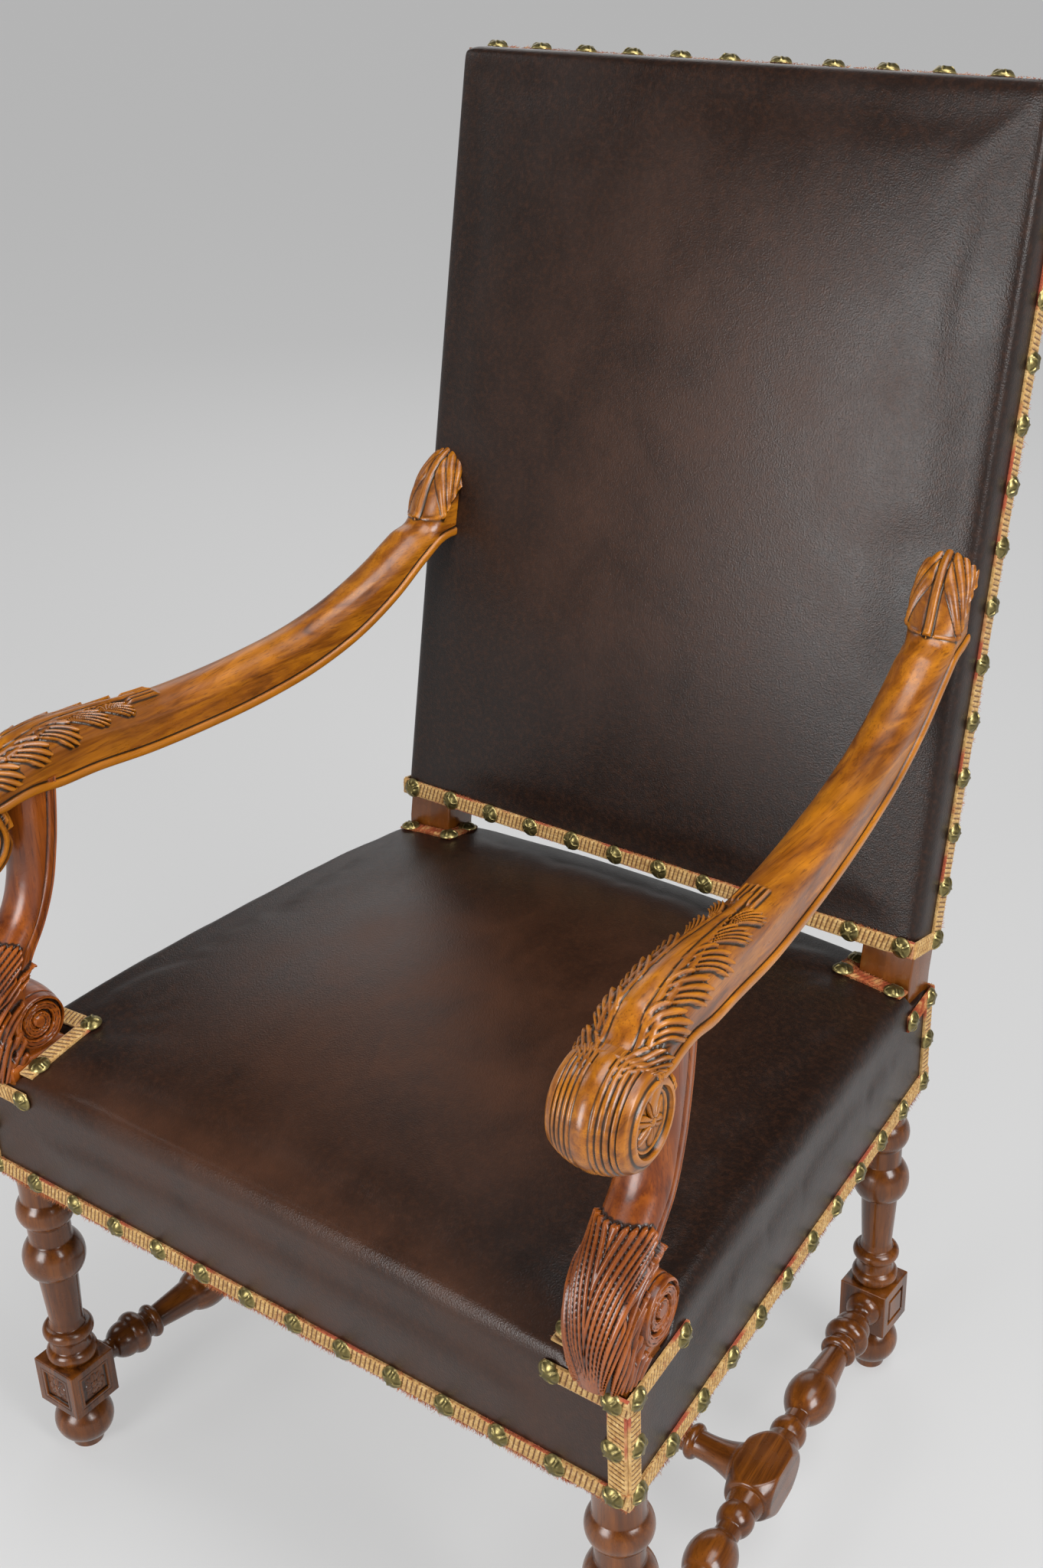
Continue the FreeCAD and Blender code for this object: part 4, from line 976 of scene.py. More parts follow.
support_width = 40.0
support_depth = 62.0
support_rise = 227.0
foot_inner = 276.2
foot_rear = 63.8
stem_shares = {
    "rise": [0.00, 0.10, 0.22, 0.33, 0.45, 0.56, 0.68, 0.82, 1.09],
    "place": [0.23, 0.22, 0.14, 0.25, 0.55, 0.865, 1.055, 1.16, 1.28],
    "depth": [0.71, 0.855, 0.76, 0.61, 0.46, 0.415, 0.44, 0.51, 0.60],
    "out": [0.0, 0.0, 0.0, 0.0, 0.06, 0.10, 0.10, 0.10, 0.10],
    "lean": [0, 4, 4, -20, -32, -34, -22, -10, 0],
}

# Root, length and first and last angle of each lobe at the side of the stem's leaf
stem_lobes = [((-12, 5), 112, 0.04, 0.22), ((-18, 9), 92, 0.12, 0.36), ((-20, 13), 70, 0.16, 0.52),
              ((-20, 16), 50, 0.22, 0.78)]


def stem_leaf(h, g):
    """The leaf on the front foot of the support: h up from the foot, g across."""
    g = np.abs(g)
    spread = 0.19
    pitch = 0.034
    reach = np.hypot(g, h + 34.0)
    turn = np.arctan2(g, h + 34.0) - 0.05 * (reach / 100.0) ** 2
    flute = np.abs(np.sin(math.pi * turn / pitch + math.pi / 2)) ** 0.75
    round_end = np.cos(np.clip(turn / spread, 0, 1) * math.pi / 2) ** 0.7
    edge = 148.0 * (0.78 + 0.22 * round_end) - 3.0 * (1 - flute)
    inside = smoothstep(0.8, -0.8, reach - edge) * smoothstep(spread, 0.17, turn)
    cut = 2.0 * (1 - flute) * smoothstep(36, 70, reach)
    height = inside * (2.4 + 2.6 * np.clip(reach / 146.0, 0, 1) ** 5 - cut)
    side = np.zeros(h.shape)
    for root, size, low, high in stem_lobes:
        side = np.maximum(side, lobe(h, g, root, size, low - 0.02, high, 0.20, 3))
    height = np.where(side > 0.6, side + 1.2, height)
    for at in ((66, 27), (43, 32), (22, 36)):
        height = height + hole(h, g, at, 0.45, 6.5, 2.2, 4.5)
    return np.maximum(height, -3.5)


def support_stem():
    """The S-shaped stem of the right support with its leaf and its fillets."""
    rise = np.linspace(0.0, 1.07, 320)
    keys = ("place", "depth", "out", "lean")
    at = {k: curve_through(stem_shares["rise"], stem_shares[k], rise) for k in keys}
    half = support_width / 2
    angles = np.linspace(-math.pi / 2, math.pi / 2, 81)
    girth = 0.90 * half * angles
    down = np.linspace(0, 1, 40)[1:]
    rings = []
    marks = []
    for i, share in enumerate(rise):
        depth = support_depth * at["depth"][i]
        spring = depth / 2 - half * 0.80
        low = -depth / 2 + 1.6
        front = np.stack([half * np.sin(angles), spring + half * 0.80 * np.cos(angles)], -1)
        flank = np.stack([np.full(len(down), half), spring + (low - spring) * down], -1)
        corner = np.array([[half - 0.5, low - 1.1], [half - 1.6, low - 1.6], [half * 0.5, low - 1.6]])
        section, g = mirrored_section(front, flank, corner, low - 1.6, girth,
                                      girth[-1] + (spring - low) * down)
        to_rear = (spring - low) * (1 - down) + 1.6
        edge = np.concatenate([np.full(81, 50.0), to_rear, np.full(7, 0.0), to_rear[::-1]])
        lean = math.radians(90 + at["lean"][i])
        y = support_depth * at["place"][i] - section[:, 1] * math.sin(lean)
        z = stump_top + support_rise * share + section[:, 1] * math.cos(lean)
        rings.append(np.stack([section[:, 0] + support_width * at["out"][i], y, z], -1))
        marks.append([g, edge])
    base = np.stack(rings)
    g, edge = np.array(marks).transpose(1, 0, 2)
    normals = ring_normals(base)
    if (normals[:, 40, 1] > 0).mean() > 0.5:
        normals = -normals
    h = (rise * support_rise)[:, None] * np.ones(base.shape[1])
    line = -1.3 * ridge_at(edge, 9.5, 0.9) + 0.8 * smoothstep(9.0, 7.5, edge) * (edge > 0.1)
    line = line - 0.9 * ridge_at(edge, 3.0, 0.7)
    carve = stem_leaf(base[..., 2] - stump_top, g) + line * smoothstep(70, 100, h)
    return arm_place(base + normals * (carve * (np.abs(g) < leaf_end))[..., None]), base


def volute_face(r, t):
    """Spiral ribbon cut into the face of a volute."""
    phase = (r - 4.6) / 9.4 + t / (2 * math.pi)
    part = np.abs(phase - np.floor(phase) - 0.5)
    groove = smoothstep(0.17, 0.08, part)
    fine = 0.9 * ridge_at(part, 0.33, 0.03)
    knob = smoothstep(5.4, 4.4, r)
    live = smoothstep(23.2, 22.2, r) * smoothstep(4.6, 5.6, r)
    return -1.6 * smoothstep(23, 6, r) - live * (4.2 * groove + fine) + 1.0 * knob


def volute_skin(t, x):
    """A fine line along each edge of the volute's skin."""
    return -0.8 * ridge_at(np.abs(x), 19.0, 0.8)


def build_supports():
    shells = Shells().tube(*support_stem())
    shells.tube(*roll(volute_centre, volute_half, 0.86, volute_radius, volute_face, volute_skin, 220))
    edge = 2.2
    foot = [(foot_inner, edge), (half_width(edge, edge), edge), (half_width(foot_rear, edge), foot_rear),
            (foot_inner, foot_rear)]
    moulding = [(0.0, 0.6), (0.6, 0.0), (8.5, 0.0), (10.0, 0.5), (11.6, 1.4), (12.6, 2.8), (13.2, 4.4),
                (13.4, 7.0)]
    shells.tube(rounded_box(foot, [(stump_top + up, inset) for up, inset in moulding], 3.0))
    make_pair("carved_support", shells, support_wood, "arm_support", 50, rounds=8)


# Cushions

def seat_rise(y):
    t = np.asarray(y, float) / seat_depth
    edge = seat_edge_top + 18.0 * (1 - np.abs(2 * t - 1) ** 3)
    crown = 8.0 * (1 - t) + 15.0 * t + 24.0 * t * (1 - t)
    return edge, crown


def seat_surface(x, y):
    edge, crown = seat_rise(y)
    return edge + crown * (1 - (x / half_width(y)) ** 2)


def back_rise(w):
    t = (w - back_low) / (back_high - back_low)
    return back_crown * np.maximum(1 - np.abs(2 * t - 1) ** 3, 0.01)


def back_surface(x, w):
    return -back_edge - back_rise(w) * (1 - (x / back_half) ** 2)


def back_place(p):
    """Moves points drawn upright on the posts' front plane into the raked back."""
    y = post_front + p[..., 2] * math.sin(rake) + p[..., 1] * math.cos(rake)
    z = kink_z + p[..., 2] * math.cos(rake) - p[..., 1] * math.sin(rake)
    return np.stack([p[..., 0], y, z], -1)


def box_form(half_sizes, steps, easing):
    """A closed box of grids with rounded edges about the origin."""
    shells = Shells()
    for axis in range(3):
        first, second = (np.linspace(-1, 1, n) for i, n in enumerate(steps) if i != axis)
        for sign in (-1, 1):
            eased = box_side(np.array(half_sizes, float), axis, sign, first, second, easing)[1]
            shells.add(eased, grid_faces(len(first), len(second)))
    return shells


def bake(obj):
    """Replaces an object's mesh by what its modifiers make of it."""
    graph = bpy.context.evaluated_depsgraph_get()
    graph.update()
    done = bpy.data.meshes.new_from_object(obj.evaluated_get(graph))
    obj.modifiers.clear()
    obj.data = done


def inflated(obj, held):
    """Where Cloth with pressure takes the points of a working mesh, the held ones kept."""
    stiffness = 25.0
    group = obj.vertex_groups.new(name="held")
    for k in np.nonzero(held)[0]:
        group.add([int(k)], 1.0, "REPLACE")
    cloth = obj.modifiers.new("stuffed", "CLOTH")
    cloth.settings.quality = 4
    cloth.settings.use_pressure = True
    cloth.settings.uniform_pressure_force = 3.0
    cloth.settings.tension_stiffness = stiffness
    cloth.settings.compression_stiffness = stiffness
    cloth.settings.shear_stiffness = stiffness / 2
    cloth.settings.bending_stiffness = 1.5
    cloth.settings.vertex_group_mass = "held"
    cloth.settings.effector_weights.gravity = 0
    cloth.collision_settings.use_collision = False
    scene = bpy.context.scene
    for step in range(1, 21):
        scene.frame_set(step)
    graph = bpy.context.evaluated_depsgraph_get()
    moved = array_of(obj.evaluated_get(graph).data.vertices, "co").copy()
    obj.modifiers.clear()
    scene.frame_set(1)
    return moved


class Pad:
    """A cushion: its working mesh, the mesh's points and where Cloth takes them, in millimetres."""

    def __init__(self, name, form, is_held):
        points = np.concatenate(form.points) * 0.001
        self.obj = linked(name, mesh_of(name, form, points, True))
        even = self.obj.modifiers.new("even", "REMESH")
        even.mode = "VOXEL"
        even.voxel_size = 0.006
        bake(self.obj)
        self.base = array_of(self.obj.data.vertices, "co") * 1000
        self.normals = array_of(self.obj.data.vertex_normals, "vector")
        self.moved = self.base
        self.moved = inflated(self.obj, is_held(*self.base.T)) * 1000

    def capped(self, caps):
        """Points moved outwards as far as the caps allow, and hardly inwards."""
        step = self.moved - self.base
        inwards = np.minimum((step * self.normals).sum(1, keepdims=True) + 0.3, 0)
        step = step - inwards * self.normals
        size = np.linalg.norm(step, axis=1, keepdims=True)
        return self.base + step * np.minimum(1, caps[:, None] / np.maximum(size, 1e-9))

    def finish(self, name, points, wear, nodes, fill):
        obj = self.obj
        obj.data.vertices.foreach_set("co", in_row(points).ravel())
        mark(obj.data, "wear", np.clip(wear, 0.08, 1))
        finer = obj.modifiers.new("finer", "SUBSURF")
        finer.levels = 1
        finer.render_levels = 1
        bake(obj)
        obj.name = name
        obj.data.shade_smooth()
        obj.data.materials.clear()
        obj.data.materials.append(cover)
        declare(obj, nodes)


def outside(values, middle, half):
    """How far values lie beyond a span about a middle, none inside it."""
    return np.maximum(np.abs(values - middle) - half, 0)


def build_seat():
    low = seat_bottom + 3.6
    deep = seat_edge_top - low
    half = 300.0
    held_below = 342
    side_cap, top_cap = 2.5, 3.0
    foot_x, foot_y, margin = 276, 64, 0.4

    def in_seat(p):
        y = p[:, 1] + seat_depth / 2
        u = p[:, 0] / half
        edge, crown = seat_rise(np.clip(y, 0, seat_depth))
        lift = smoothstep(0.75, 1.0, (p[:, 2] + deep / 2) / deep)
        lift = lift * (edge - seat_edge_top + crown * (1 - np.clip(u, -1, 1) ** 2))
        return np.stack([u * half_width(y), y, p[:, 2] + low + deep / 2 + lift], -1)

    form = box_form((half, seat_depth / 2, deep / 2), (110, 96, 24), 10.0).placed(in_seat)
    pad = Pad("seat_pad_work", form, lambda x, y, z: z < held_below)
    x, y, z = pad.base.T
    posts = np.hypot(outside(np.abs(x), rear_leg_x, post_width / 2), outside(y, post_middle, post_depth / 2))
    feet = np.hypot(np.maximum(foot_x - np.abs(x), 0), np.maximum(y - foot_y, 0))
    top = smoothstep(seat_edge_top - 8, seat_edge_top + 4, z)
    caps = side_cap * smoothstep(held_below, 385, z) * (1 - top) + top_cap * top
    caps = caps * smoothstep(14, 60, np.minimum(posts, feet))
    corner = smoothstep(20, 55, np.hypot(half_width(y) - np.abs(x), np.minimum(y, seat_depth - y)))
    points = pad.capped(caps * (0.25 + 0.75 * corner))
    folds = np.zeros(len(points))
    across, along = np.abs(points[:, 0]), points[:, 1]
    for cx, cy, turn in ((272, 66, 2.35), (272, 66, 2.0), (272, 66, 2.75), (222, 502, -2.35),
                         (222, 502, -2.0)):
        dx = across - cx
        dy = along - cy
        a = dx * math.cos(turn) + dy * math.sin(turn)
        b = -dx * math.sin(turn) + dy * math.cos(turn)
        fold = ridge_at(b, 0, 4 + 0.09 * np.maximum(a, 0))
        folds += fold * smoothstep(6, 22, a) * smoothstep(120, 40, a)
    points[:, 2] -= 1.3 * folds * (z > seat_edge_top - 4)
    in_post = (across > post_inner - margin) & (along > post_front - margin)
    in_foot = (across > foot_x - margin) & (along < foot_y + margin)
    points[:, 2] = np.where(in_post | in_foot, np.minimum(points[:, 2], stump_top - 2), points[:, 2])
    u = points[:, 0] / half_width(along)
    v = along / seat_depth
    wear = smoothstep(1.05, 0.25, np.hypot(u, (v - 0.45) * 1.7)) + 0.8 * ridge_at(along, 14, 22)
    pad.finish("seat_cushion", points, wear,
               ["seat_leather", "seat_stuffing", "seat_hessian", "seat_webbing"], 0.85)


def build_back():
    height = back_high - back_low
    deep = post_depth + back_edge

    def in_back(p):
        w = p[:, 2] + (back_low + back_high) / 2
        u = np.clip(p[:, 0] / back_half, -1, 1)
        lift = smoothstep(0.6, 1.0, 1 - (p[:, 1] + deep / 2) / deep)
        lift = lift * back_rise(np.clip(w, back_low, back_high)) * (1 - u ** 2)
        return np.stack([p[:, 0], p[:, 1] + post_depth - deep / 2 - lift, w], -1)

    form = box_form((back_half, deep / 2, height / 2), (96, 16, 120), 8.0).placed(in_back)
    pad = Pad("back_pad_work", form, lambda x, n, w: (n > post_depth - 20) | (w < back_low + 20))
    x, n, w = pad.base.T
    arm_w = (arm_dip + arm_reach * 0.165 - kink_z) / math.cos(rake)
    near_arm = np.hypot(outside(np.abs(x), 251, 24), outside(w, arm_w, 40))
    edge = np.minimum(back_half - np.abs(x), np.minimum(w - back_low, back_high - w))
    caps = 2.6 * smoothstep(0, -back_edge, n) * smoothstep(4, 60, edge)
    points = pad.capped(caps * smoothstep(6, 50, near_arm) * smoothstep(16, 50, w - back_low))
    u = points[:, 0] / back_half
    v = (points[:, 2] - back_low) / height
    wear = 0.6 * smoothstep(1.1, 0.2, np.hypot(u * 0.9, (v - 0.55) * 1.9))
    pad.finish("back_cushion", back_place(points), wear,
               ["back_leather", "back_stuffing", "back_hessian", "back_webbing"], 0.8)


# Braid

def braid_relief(l, w):
    """Heights of the weave: four cells across, with a twisted cord at each edge."""
    pitch, cell_width, height = 4.4, 3.0, 1.5
    cord_width, twist_pitch = 1.5, 2.4
    cell = np.abs(np.sin(math.pi * (l - 0.25 * w) / pitch)) ** 0.8
    warp = np.abs(np.sin(math.pi * (w - cord_width) / cell_width)) ** 0.5
    body = height * cell * (0.72 + 0.28 * warp)
    side = np.minimum(w, gimp_width - w)
    twist = 0.7 + 0.25 * np.sin(2 * math.pi * (l / twist_pitch + side))
    cord = dome(side - 0.75, 0.8) * twist
    return np.where(side < cord_width, cord, body)


def strip(shells, surface, length):
    """A length of braid on surface(l, w), an array of points, its rear face on the surface."""
    rows = max(4, int(length / 0.8))
    l, w = grid(np.linspace(0, length, rows), np.linspace(0, gimp_width, 21))
    ground = surface(l, w)
    step = 0.25
    n = unit(np.cross(surface(l + step, w) - surface(l - step, w),
                      surface(l, w + step) - surface(l, w - step)))
    lift = gimp_thickness - 0.45 + braid_relief(l, w)
    top = ground + n * lift[..., None]
    under = (ground + n * 0.05)[:, ::-1][:, ::4]
    flat = np.stack([l, w, lift], -1)
    flat_under = np.stack([l, w, 0 * lift], -1)[:, ::-1][:, ::4]
    shells.tube(np.concatenate([top, under], 1), np.concatenate([flat, flat_under], 1))


def threads(shells, surface, length, out, edge, density, reach, patchy=0.5):
    """Frayed threads that stand out from one edge of a braid: edge is the place across."""
    phase = random.uniform(0, 6)
    out = np.array(out, float)

    def at(l, w):
        return surface(np.array([[l]]), np.array([[w]]))[0, 0]

    for _ in range(int(length * density)):
        l = random.uniform(1.0, length - 1.0)
        thick_here = 0.5 + 0.5 * math.sin(l / 23.0 + phase) * math.sin(l / 61.0 + 2 * phase)
        if random.random() < patchy * (1 - thick_here):
            continue
        size = reach * random.uniform(0.35, 1.0) * (0.55 + 0.6 * thick_here)
        here = at(l, edge)
        ahead = unit(at(l + 0.5, edge) - here)
        across = unit(at(l, edge + 0.3) - here)
        if edge < gimp_width / 2:
            across = -across
        radius = random.uniform(0.2, 0.38)
        base = here + out * random.uniform(0.4, gimp_thickness) - across * 0.8
        way = unit(across + ahead * random.uniform(-0.35, 0.35) * 1.6 + out * random.uniform(-0.15, 0.7))
        curl = ahead * random.uniform(-0.5, 0.5) + out * random.uniform(-0.3, 0.3)
        rings = []
        for t in (0, 1 / 3, 2 / 3, 1):
            centre = base + way * size * t + curl * size * t * t
            r = radius * (1 - 0.75 * t)
            rings.append([centre + r * (math.cos(a) * ahead + math.sin(a) * out)
                          for a in (0.0, 2.094, 4.189)])
        shells.tube(np.array(rings), np.zeros((12, 3)) + np.array([l, random.uniform(0, 200), 0]))


def flat_strip(origin, along, across):
    """A plane surface for braid."""
    origin = np.asarray(origin, float)
    along, across = unit(along), unit(across)
    return lambda l, w: origin + l[..., None] * along + w[..., None] * across


def laid_surface(x0, y0, dx, dy):
    """Braid laid on the crown of the seat from a corner, along (dx, dy), its width to the left."""
    return lambda l, w: np.stack([x0 + dx * l - dy * w, y0 + dy * l + dx * w,
                                  seat_surface(x0 + dx * l - dy * w, y0 + dy * l + dx * w)], -1)


class Braid:
    """Strips of braid and their frayed threads, gathered for one piece."""

    def __init__(self):
        self.body = Shells()
        self.loose = Shells()

    def run(self, surface, length, out, *rows, frayed=None):
        """Adds a strip and rows of threads, each row with its edge, density, reach and patchiness."""
        strip(self.body, surface, length)
        for row in rows:
            threads(self.loose, surface, frayed or length, out, *row)
        return self

    def finish(self, name, node, body, loose):
        """Makes the piece, with the threads in a second material."""
        whole = Shells().join(body).join(loose)
        obj = make(name, whole, [braid, fray], [node], rounds=3, sharp=60)
        marks = np.zeros(len(obj.data.polygons), int)
        marks[len(body.faces):] = 1
        obj.data.polygons.foreach_set("material_index", marks)
        obj.data.update()

    def piece(self, name, node):
        self.finish(name, node, self.body, self.loose)

    def pair(self, name, node):
        self.finish(name + "_right", node + "_right", self.body, self.loose)
        self.finish(name + "_left", node + "_left", mirrored(self.body), mirrored(self.loose))


along_side = np.array([-slant, 1.0, 0.0])
out_of_side = np.array([1.0, slant, 0.0]) / slant_stretch
right_way, left_way = (1, 0, 0), (-1, 0, 0)
rear_way, front_way = (0, 1, 0), (0, -1, 0)
upwards = (0, 0, 1)


def build_seat_braid():
    reach = half_width(0, -gimp_thickness)
    run = flat_strip((-reach, 0, gimp_low), right_way, upwards)
    Braid().run(run, 2 * reach, front_way, (0.0, 8.0, 5.2, 0.4), (gimp_width, 5.0, 2.8, 0.4)).piece(
        "braid_seat_front", "seat_gimp_front")
    reach = half_width(seat_depth, -gimp_thickness)
    run = flat_strip((reach, seat_depth, gimp_low), left_way, upwards)
    Braid().run(run, 2 * reach, rear_way, (0.0, 3.0, 4.0)).piece("braid_seat_rear", "seat_gimp_rear")
    run = flat_strip((seat_half_front, 0, gimp_low), along_side, upwards)
    Braid().run(run, seat_depth * slant_stretch, out_of_side, (0.0, 6.0, 4.4), (gimp_width, 3.0, 2.2)).pair(
        "braid_seat_side", "seat_gimp")
    tall = corner_gimp_top - gimp_high
    corner = np.array([seat_half_front, 0, gimp_high])
    piece = Braid().run(flat_strip(corner, upwards, left_way), tall, front_way, (0.0, 2.0, 1.6))
    turned = corner + along_side / slant_stretch * gimp_width
    piece.run(flat_strip(turned, upwards, -along_side), tall, None)
    piece.pair("braid_front_corner", "front_corner_gimp")
    run = flat_strip((half_width(seat_depth), seat_depth, gimp_high), upwards, -along_side)
    Braid().run(run, tall, out_of_side, (0.0, 2.0, 2.0)).pair("braid_rear_corner", "rear_corner_gimp")


def build_collars():
    """Braid round the feet of the supports and round the posts."""
    low = corner_gimp_top
    inner = collar_inner - gimp_width
    end = collar_rear + gimp_width
    inset = 8.0
    piece = Braid()
    piece.run(flat_strip((inner, 0, low), right_way, upwards), half_width(0, -gimp_thickness) - inner,
              front_way, (gimp_width, 1.5, 1.6))
    piece.run(flat_strip((seat_half_front, 0, low), along_side, upwards), end * slant_stretch,
              out_of_side, (gimp_width, 1.5, 1.6), frayed=end)
    piece.run(laid_surface(collar_inner, inset, 0, 1), end - inset, upwards, (gimp_width, 2.5, 2.4))
    piece.run(laid_surface(collar_inner, collar_rear, 1, 0), half_width(collar_rear, inset) - collar_inner,
              upwards, (gimp_width, 2.5, 2.4))
    piece.pair("braid_support_foot", "arm_base_gimp")
    inner = post_inner - gimp_width
    front = post_front - gimp_width
    reach = half_width(seat_depth, -gimp_thickness)
    piece = Braid()
    piece.run(flat_strip((reach, seat_depth, low), left_way, upwards), reach - inner,
              rear_way, (gimp_width, 2.0, 2.4))
    piece.run(flat_strip((half_width(front), front, low), along_side, upwards),
              (seat_depth - front) * slant_stretch, out_of_side, (gimp_width, 3.0, 3.0),
              frayed=seat_depth - front)
    piece.run(laid_surface(inner, front, 1, 0), half_width(front, inset) - inner, upwards,
              *[(edge, 4.5, 4.5, 0.2) for edge in (0.0, 3.0, 6.0, 10.0, gimp_width)])
    piece.run(laid_surface(post_inner - layer_gap, post_front, 0, 1),
              seat_depth - seat_shoulder - post_front, upwards,
              *[(edge, 4.5, 4.5, 0.2) for edge in (0.0, 5.0, 10.0, gimp_width)])
    piece.loose = piece.body.join(piece.loose)
    piece.body = Shells()
    piece.pair("braid_post_foot", "post_base_gimp")


def build_back_braid():
    def raked(origin, along, across):
        surface = flat_strip(origin, along, across)
        return lambda l, w: back_place(surface(l, w))

    def crown(l, w):
        x = l - back_half
        return back_place(np.stack([x, back_surface(np.clip(x, -back_half, back_half), back_low + w),
                                    back_low + w], -1))

    height = back_high - back_low
    wide = 2 * back_half
    up, behind = (back_place(np.array(way, float)) - back_place(np.zeros(3)) for way in (upwards, rear_way))
    run = raked((back_half, post_depth, back_low), upwards, front_way)
    Braid().run(run, height, right_way, (0.0, 2.6, 4.0, 0.95)).pair("braid_back_side", "back_gimp")
    run = raked((-back_half, post_depth, back_high), right_way, front_way)
    Braid().run(run, wide, up, (0.0, 4.0, 4.2, 0.8), (gimp_width, 2.0, 2.0, 0.8)).piece(
        "braid_back_top", "back_gimp_top")
    piece = Braid().run(crown, wide, -behind, (gimp_width, 4.0, 2.6), (0.0, 1.6, 2.0))
    for sign, first in ((-1, post_depth - gimp_width), (1, -back_edge)):
        run = raked((sign * back_half, first, back_low), (0, sign, 0), upwards)
        piece.run(run, post_depth - gimp_width + back_edge, None)
    piece.piece("braid_back_front", "back_gimp_front")
    run = raked((back_half, cover_face, back_low), left_way, upwards)
    Braid().run(run, wide, behind, (0.0, 2.0, 3.0)).piece("braid_back_rear", "back_gimp_rear")


# Nails

def nail_head():
    """A domed head on +Z with raised crossing ribs, rings by sides by 3."""
    rings, sides = 15, 40
    share = np.linspace(0.02, 1, rings)
    a = np.linspace(0, 2 * math.pi, sides, endpoint=False)
    s, t = np.meshgrid(share, a, indexing="ij")
    r = s * nail_radius
    z = nail_height * (1 - s ** 2.3) * 0.97 + 0.55 * smoothstep(1.0, 0.93, s)
    rib = np.minimum(np.abs(np.sin(2 * t)) * r / 2, 9)
    ridge = 0.85 * ridge_at(rib, 0, 0.62) * smoothstep(0.99, 0.86, s)
    groove = -0.35 * ridge_at(rib, 1.5, 0.7) * smoothstep(0.97, 0.8, s) * smoothstep(0.1, 0.3, s)
    z = np.minimum(z + ridge + groove, nail_height)
    top = np.stack([r * np.cos(t), r * np.sin(t), z], -1)
    skirt = top[-1:].copy()
    skirt[..., 2] = -0.6
    return np.concatenate([top, skirt])


def nails(name, spots, node):
    """Nail heads at places with normals, each turned and tipped a little by chance."""
    head = nail_head()
    shells = Shells()
    for place, normal in spots:
        n = unit(normal)
        side = unit(np.cross(n, [0.31, 0.52, 0.80]))
        a = random.uniform(0, math.pi)
        u = side * math.cos(a) + np.cross(n, side) * math.sin(a)
        v = np.cross(n, u)
        p = head.copy()
        p[..., 2] += p[..., 0] * random.uniform(-0.06, 0.06)
        shells.tube(np.asarray(place, float) + p[..., :1] * u + p[..., 1:2] * v + p[..., 2:] * n)
    make(name, shells, [brass], [node], rounds=2, sharp=70)


def both_nails(name, spots, node):
    flip = np.array([-1.0, 1.0, 1.0])
    nails(name + "_right", spots, node + "_right")
    nails(name + "_left", [(p * flip, n * flip) for p, n in spots], node + "_left")


def row_of(a, b, normal):
    a, b = np.asarray(a, float), np.asarray(b, float)
    count = max(1, round(np.linalg.norm(b - a) / nail_pitch))
    return [(a + (b - a) * (i / count), normal) for i in range(count + 1)]


def slopes(surface, x, y, step):
    """Slopes of a surface along its two places, measured over a step."""
    d = step / 2
    return (float((surface(x + d, y) - surface(x - d, y)) / (2 * d)),
            float((surface(x, y + d) - surface(x, y - d)) / (2 * d)))


def laid_nail(x, y):
    gx, gy = slopes(seat_surface, x, y, seat_shoulder)
    n = unit([-gx, -gy, 1.0])
    return np.array([x, y, float(seat_surface(x, y))]) + n * gimp_thickness, n


def crown_nail(x, w):
    slope, climb = slopes(back_surface, x, w, back_shoulder)
    n = unit([slope, -1.0, climb])
    spot = np.array([x, float(back_surface(x, w)), w]) + n * gimp_thickness
    return back_place(spot), back_place(n) - back_place(np.zeros(3))


def raked_row(a, b, normal):
    """A row of nails drawn upright, moved into the raked back."""
    turned = back_place(np.array(normal, float)) - back_place(np.zeros(3))
    return [(back_place(p), turned) for p, _ in row_of(a, b, normal)]


def build_nails():
    t = gimp_thickness
    z = gimp_low + gimp_width / 2
    end = nail_radius + gimp_edge
    clear = nail_radius + layer_gap
    out = np.array([1.0, slant, 0.0])
    fx = seat_half_front - end
    rx = seat_half_rear - end
    nails("nails_seat_front", row_of((-fx, -t, z), (fx, -t, z), front_way), "seat_nails_front")
    nails("nails_seat_rear", row_of((-rx, seat_depth + t, z), (rx, seat_depth + t, z), rear_way),
          "seat_nails_rear")

    def on_side(y, height):
        return np.array([half_width(y, -t), y, height]), out

    def on_front(x, height):
        return np.array([x, -t, height]), np.array(front_way, float)

    both_nails("nails_seat_side", row_of(on_side(end, z)[0], on_side(seat_depth - end, z)[0], out),
               "seat_nails")
    middle = (gimp_high + corner_gimp_top) / 2
    upper = corner_gimp_top + gimp_width / 2
    beside = collar_inner - clear
    both_nails("nails_corner",
               [on_front(fx, middle), on_side(end, middle), on_front(fx, upper), on_front(beside, upper),
                on_side(end, upper), on_side(collar_rear + gimp_width / 2, upper),
                laid_nail(beside, seat_shoulder + clear), laid_nail(beside, collar_rear + clear)],
               "corner_nails")
    rear_end = seat_depth - gimp_width / 2
    beside = post_inner - clear
    both_nails("nails_post",
               [on_side(rear_end, middle), on_side(rear_end, upper),
                on_side(post_front - gimp_width / 2, upper), laid_nail(beside, post_front - clear),
                laid_nail(post_outer - clear, post_front - clear),
                laid_nail(beside, seat_depth - seat_shoulder - clear)], "post_nails")
    n = post_depth - gimp_width / 2
    x = back_half - end
    low = back_low + gimp_width / 2
    high = back_high - end
    both_nails("nails_back_side", raked_row((back_half + t, n, low), (back_half + t, n, high), right_way),
               "back_nails")
    nails("nails_back_top", raked_row((-x, n, back_high + t), (x, n, back_high + t), upwards),
          "back_nails_top")
    front = row_of((-x, 0, low), (x, 0, low), front_way)
    nails("nails_back_front", [crown_nail(p[0], low) for p, _ in front], "back_nails_front")
    behind = cover_face + t
    nails("nails_back_rear", raked_row((-x, behind, low), (x, behind, low), rear_way), "back_nails_rear")


# Flat covers

